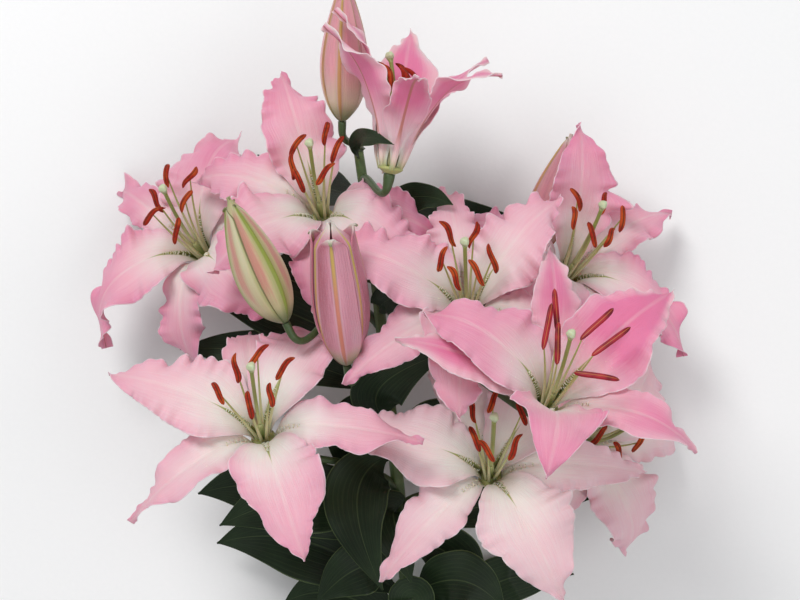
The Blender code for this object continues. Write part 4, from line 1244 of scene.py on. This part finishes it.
# Where the ovary, the style and the stigma start and end, as shares of the pistil, the rings and
# ribs of each, and how high its ribs are.
PistilPart = namedtuple("PistilPart", "start end rings ribs height")
PISTIL_PARTS = (
    PistilPart(0.0, OVARY_END, 12, 6, 0.10),
    PistilPart(OVARY_END, STIGMA_START, 24, 3, 0.05),
    PistilPart(STIGMA_START - 0.01, 1.0, 14, 3, 0.14),
)
OVARY_GREEN = (0.24, 0.34, 0.08)
STYLE_PALE = (0.56, 0.58, 0.28)
STYLE_GREEN = (0.25, 0.28, 0.065)
STIGMA_PALE = (0.54, 0.60, 0.38)

pistil_look = Look("pistil", {"Roughness": 0.3, "Subsurface Weight": 0.15, "Subsurface Scale": 0.002})
along = pistil_look.reading("along")
grain = pistil_look.noise(pistil_look.where(), 1200.0)
stops = (
    (0.0, OVARY_GREEN),
    (0.28, STYLE_PALE),
    (0.62, STYLE_GREEN),
    (0.92, STYLE_GREEN),
    (0.96, STIGMA_PALE),
)
colour = pistil_look.ramp(along + (grain - 0.5) * 0.08, stops)
pistil_finish = pistil_look.finish(colour, grain, 0.0001)

for bloom in BLOOMS:
    bloom_frame = frame_at(bloom.seat, bloom.faces)
    bottom = RECEPTACLE_HEIGHT + DISC_HEIGHT + 2 * SEAT_GAP
    made = Gathered()
    length = PISTIL_LENGTH * bloom.size
    for part in PISTIL_PARTS:
        shares = np.linspace(part.start, part.end, part.rings)
        radii = np.interp(shares, *zip(*PISTIL_PROFILE))
        if part.end == 1:
            radii *= np.clip((STIGMA_ROUNDS[0] - shares) / STIGMA_ROUNDS[1], STIGMA_LEAST, 1) ** 0.5
        line = [bloom_frame @ Vector((0, PISTIL_BEND * s**2, bottom + length * s)) for s in shares]
        add_rod(made, line, radii, PISTIL_SIDES, part.ribs, part.height, along=shares)
    made.piece(bloom.name + "_style", pistil_finish, "pistil", bloom.name + "_pistil")

# The buds. Each is six tepals wrapped round each other, the three outer ones with a raised rib
# along their backs. A green bud is shut, one edge over the next. As it ripens through peach to
# pink, the ribs of the inner ones show too, and its pale tips curl apart last.

BUD_LOBES = 0.09
BUD_BELLY = 0.8
BUD_TAPER = 0.28
BUD_OPENS = 3
BUD_FINE_ROWS = 96
BUD_FINE_COLUMNS = 40
BUD_SKIN = 0.0012
BUD_RIB = 0.0011
BUD_RIB_SHARE = 0.075
BUD_RIB_TIP_LESS = 0.5
BUD_TIP_RADIUS = 0.0006
BUD_POINT_START = 0.90
BUD_POINT = 0.55
BUD_TIP_START = 0.955
BUD_TIP_LESS = 1.1
BUD_PARTS = 0.82
BUD_HOOKS = 0.93
BUD_OUTER_HALF = 65
BUD_OUTER_BARES = 19
BUD_BARE_SHARE = 0.45
BUD_OUTER_CLOSES = 0.55
BUD_INNER_HALF = 56
BUD_INNER_CLOSES = 0.04
BUD_INNER_RADIUS = 0.93
BUD_INNER_SINKS = 1.35
BUD_INNER_TUCK = 0.0008
BUD_OVERLAP = 20
BUD_OVER = 0.0005
BUD_INNER_RIB = 0.7
BUD_INNER_PARTS = 0.1
BUD_INNER_TIP = 0.8
BUD_TIPS_LEAN = (0.5, 0.6)
BUD_TIPS_DROP = (0.5, 0.7)
BUD_DIFFERS = (0.8, 1.2)
BUD_TIPS_DIFFER = (0.7, 1.3)
BUD_PEACH = (0.56, 0.25, 0.18)
BUD_CREAM = (0.54, 0.49, 0.25)
BUD_WHITE = (0.66, 0.63, 0.40)
BUD_PINK = (0.62, 0.27, 0.34)
BUD_BLUSH = (0.66, 0.36, 0.42)
BUD_FRESH = (0.80, 0.31, 0.37)
BUD_ROSE = (0.42, 0.11, 0.165)
BUD_RIB_GREEN = (0.23, 0.27, 0.035)
BUD_RIB_GOLD = (0.50, 0.36, 0.08)
BUD_RIB_RIPE = (0.56, 0.19, 0.13)
BUD_RIB_OCHRE = (0.50, 0.29, 0.09)
BUD_OLIVE = (0.10, 0.11, 0.02)
BUD_BROWN = (0.20, 0.09, 0.03)
BUD_TIP_GREEN = (0.18, 0.26, 0.06)
BUD_TIP_PALE = (0.80, 0.74, 0.66)

bud_look = Look(
    "bud skin",
    {"Roughness": 0.42, "Subsurface Weight": 0.15, "Subsurface Scale": 0.004, "Sheen Weight": 0.1},
)
along, across, ripe, inner = map(bud_look.reading, ("along", "across", "ripe", "inner"))
edge = abs(across)
streak = bud_look.noise(bud_look.place(across * 7, along * 2, inner * 3 + ripe), 3.0, 4.0)
cross = bud_look.noise(bud_look.place(across * 16 + along * 10, along * 90, ripe + inner), 1.4, 2.0)
blush = edge.rise(0.10, 0.40) * across.rise(0.78, 0.45)
blush = blush * along.rise(0.08, 0.42) * along.rise(0.97, 0.80)
unripe_skin = bud_look.mix(BUD_CREAM, BUD_PEACH, (blush + (streak - 0.5) * 1.3).rise(0.0, 1.1))
margin = across.rise(0.52, 0.80) * along.rise(0.15, 0.60)
unripe_skin = unripe_skin.mix(BUD_WHITE, margin * 0.75)
# Partly painted shade: on a ripe bud each tepal goes deeper rose in random streaks and towards its tip,
# and also towards one of its edges, which stands in for shade.
deep = (streak - 0.5) * 1.2 + (cross - 0.5) * 0.5
deep = deep + across.rise(0.15, -0.75) * 0.55 + along.rise(0.25, 0.60) * 0.15
ripe_skin = bud_look.mix(BUD_PINK, BUD_ROSE, deep.rise(0.0, 1.0))
# Painted highlight: the other side of each tepal, below its middle, is paled to blush, with random
# streaks of the same.
pale = across.rise(0.15, 0.6) * along.rise(0.55, 0.15) + (cross - 0.5)
ripe_skin = ripe_skin.mix(BUD_BLUSH, pale.rise(0.2, 1))
colour = unripe_skin.mix(ripe_skin, ripe)
unripe = 1 - ripe
nearly = ripe.rise(0.3, 0.6) * unripe * 2
colour = colour.mix(BUD_FRESH, (nearly - (streak - 0.5) * 0.9) * nearly.rise(0, 0.4))
colour = colour.mix(BUD_WHITE, along.rise(0.45, 0.12) * nearly * 0.9)
colour = colour.mix(BUD_CREAM, along.rise(0.20, 0.04) * 0.7)
ribbed = 1 - inner * unripe
rib_ripe = bud_look.mix(BUD_RIB_RIPE, BUD_RIB_GOLD, along.rise(0.45, 0.80) * 0.9 + inner * 0.5)
rib_colour = bud_look.mix(BUD_RIB_GREEN, rib_ripe, ripe.rise(0.1, 0.7))
rib_colour = rib_colour.mix(BUD_RIB_OCHRE, nearly)
colour = colour.mix(BUD_BLUSH, edge.rise(0.17, 0.12) * ribbed * ripe * 0.7)
colour = colour.mix(BUD_RIB_GREEN, edge.rise(0.32, 0.10) * ribbed * unripe * 0.55)
widened = edge * (1 - along.rise(0.5, 1.0) * unripe * 0.6)
rib_side = edge.rise(BUD_RIB_SHARE * 1.7, BUD_RIB_SHARE * 1.2)
rib_side = rib_side - edge.rise(BUD_RIB_SHARE, BUD_RIB_SHARE * 0.6)
colour = colour.mix(BUD_BROWN, rib_side * ribbed * ripe * along.rise(0.35, 0.85) * 0.5)
rib = widened.rise(BUD_RIB_SHARE * 1.3, BUD_RIB_SHARE * 0.6)
colour = colour.mix(rib_colour, rib * ribbed)
outer = 1 - inner
colour = colour.mix(BUD_RIB_GREEN, across.rise(0.84, 0.96) * outer * unripe * 0.5)
# Painted shadow: a dark line along one edge of each outer tepal stands in for the shade in the seam
# where it meets the next tepal. It is olive on a green bud, ochre on a nearly ripe one and deep rose on
# a ripe one.
seam_shadow_colour = bud_look.mix(BUD_OLIVE, BUD_ROSE, ripe)
seam_shadow_colour = seam_shadow_colour.mix(BUD_RIB_OCHRE, nearly)
seam = across + along.rise(0.4, 1.0) * unripe * 0.06
colour = colour.mix(seam_shadow_colour, seam.rise(0.955, 0.985) * outer * 0.85)
tip_colour = bud_look.mix(BUD_TIP_GREEN, BUD_TIP_PALE, ripe.rise(0.1, 0.8))
colour = colour.mix(tip_colour, along.rise(0.88, 0.97) * (0.3 + ripe * 0.55))
end_colour = bud_look.mix(BUD_OLIVE, BUD_TIP_GREEN, ripe)
colour = colour.mix(end_colour, along.rise(0.965, 0.99) * outer * 0.8)
colour = colour.mix(STEM_GREEN, along.rise(0.17, 0.02) * (0.9 - ripe * 0.3))
bud_finish = bud_look.finish(colour, streak + cross * 0.5, 0.0004)


def bud_swell(bud, share):
    """How wide a bud is at that share of its length, as a share of its radius."""
    closed = np.sin(math.pi * share**BUD_BELLY) ** BUD_BELLY * (1 - BUD_TAPER * share)
    return closed + bud.blunt * share**BUD_OPENS


along, across = blade_shares(BUD_FINE_ROWS, BUD_FINE_COLUMNS)
closing, hook, pointed, ended = (
    smooth((along - start) / (1 - start))
    for start in (BUD_PARTS, BUD_HOOKS, BUD_POINT_START, BUD_TIP_START)
)
for number, bud in enumerate(BUDS):
    draw = random.Random(number + 40)
    bud_frame = frame_at(bud.seat, bud.faces) @ Matrix.Rotation(math.radians(bud.roll), 4, "Z")
    made = Gathered()
    for tepal in range(6):
        inner = tepal >= 3
        middle_angle = math.radians(120 * tepal + (60 if inner else 0))
        bared = BUD_OUTER_BARES * bud.ripe * smooth(along / BUD_BARE_SHARE)
        closes = BUD_INNER_CLOSES if inner else BUD_OUTER_CLOSES * (1 + bud.blunt)
        half = BUD_INNER_HALF if inner else BUD_OUTER_HALF - bared
        half = half * (1 - closes * closing) * (1 - BUD_TIP_LESS * bud.blunt * ended)
        overlap = 0 if inner else BUD_OVERLAP * (1 - bud.ripe) * (1 - closing)
        angle = middle_angle + np.radians(across * half + across**2 * overlap)
        lobes = 1 + BUD_LOBES * (np.cos(3 * angle) + np.cos(6 * angle) / 3)
        radius = bud.radius * bud_swell(bud, np.clip(along, 0, 0.999)) * lobes
        if inner:
            radius = radius * (BUD_INNER_RADIUS - BUD_INNER_SINKS * bud.blunt * closing)
        radius = radius * (1 - BUD_POINT * (1 - bud.blunt) * pointed)
        radius = radius + (-BUD_INNER_TUCK * np.abs(across) ** 5 if inner else BUD_OVER * across**3)
        radius = np.maximum(radius, BUD_TIP_RADIUS * (BUD_INNER_TIP if inner else 1))
        parted = bud.parted * draw.uniform(*BUD_DIFFERS) * (BUD_INNER_PARTS if inner else 1)
        apart = parted * (BUD_TIPS_LEAN[0] * closing**2 + BUD_TIPS_LEAN[1] * hook**2)
        dropped = parted * (BUD_TIPS_DROP[0] * closing + BUD_TIPS_DROP[1] * hook**3)
        height = bud.length * along - dropped * draw.uniform(*BUD_TIPS_DIFFER)
        grid = np.stack(
            (
                radius * np.cos(angle) + apart * math.cos(middle_angle),
                radius * np.sin(angle) + apart * math.sin(middle_angle),
                height * np.ones_like(angle),
            ),
            axis=-1,
        )
        rib = ridge(across, BUD_RIB_SHARE) * smooth(along * 8) * (1 - BUD_RIB_TIP_LESS * closing)
        drop = BUD_SKIN / 2 + BUD_RIB * rib * (bud.ripe * BUD_INNER_RIB if inner else 1)
        lift, grid = np.full_like(drop, BUD_SKIN / 2), moved(grid, bud_frame)
        add_blade(
            made, grid, lift, drop, along=along, across=across, ripe=bud.ripe, inner=float(inner)
        )
    made.piece(bud.name + "_tepals", bud_finish, "bud", bud.name)

# The floor, the lights and the camera, which looks straight down on the lily. They aren't part
# of it. The floor is a pale sheet, and the light is soft and comes mostly from the upper left.

FLOOR_SIZE = 6.0
FLOOR_PALE = (0.93, 0.93, 0.925)
FLOOR_GREY = (0.91, 0.91, 0.905)
STUDIO_WHITE = (0.95, 0.97, 1.0, 1)
STUDIO_STRENGTH = 0.42
CAMERA_HEIGHT = 1.65
CAMERA_LENS = 99.3

floor_look = Look("floor", {"Roughness": 0.9, "Specular IOR Level": 0.1})
grain = floor_look.noise(floor_look.where(), 300.0)
floor_finish = floor_look.finish(floor_look.mix(FLOOR_PALE, FLOOR_GREY, grain), grain, 0.0001)
mesh = bpy.data.meshes.new("floor")
half = FLOOR_SIZE / 2
corners = [(-half, -half, 0), (half, -half, 0), (half, half, 0), (-half, half, 0)]
mesh.from_pydata(corners, [], [(0, 1, 2, 3)])
mesh.materials.append(floor_finish)
floor = bpy.data.objects.new("floor", mesh)
bpy.context.scene.collection.objects.link(floor)
floor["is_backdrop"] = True

Lamp = namedtuple("Lamp", "name place size watts")
LAMPS = (
    Lamp("key", (-0.7, 1.35, 1.75), 0.9, 26),
    Lamp("fill", (1.2, -0.2, 1.6), 1.6, 8),
    Lamp("top", (0.0, -0.9, 2.0), 1.8, 6),
)
for lamp in LAMPS:
    light = bpy.data.lights.new(lamp.name, "AREA")
    light.shape = "DISK"
    light.size = lamp.size
    light.energy = lamp.watts
    holder = bpy.data.objects.new(lamp.name, light)
    holder.location = lamp.place
    holder.rotation_euler = (MIDDLE - Vector(lamp.place)).to_track_quat("-Z", "Y").to_euler()
    bpy.context.scene.collection.objects.link(holder)

world = bpy.data.worlds.new("studio")
world.use_nodes = True
backdrop = world.node_tree.nodes["Background"]
backdrop.inputs["Color"].default_value = STUDIO_WHITE
backdrop.inputs["Strength"].default_value = STUDIO_STRENGTH
bpy.context.scene.world = world
bpy.context.scene.view_settings.view_transform = "Standard"

camera = bpy.data.cameras.new("camera")
camera.lens = CAMERA_LENS
holder = bpy.data.objects.new("camera", camera)
holder.location = (MIDDLE.x, MIDDLE.y, CAMERA_HEIGHT)
bpy.context.scene.collection.objects.link(holder)
bpy.context.scene.camera = holder

boxes = [[list(corner) for corner in bounds] for bounds in (cad_bounds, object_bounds())]
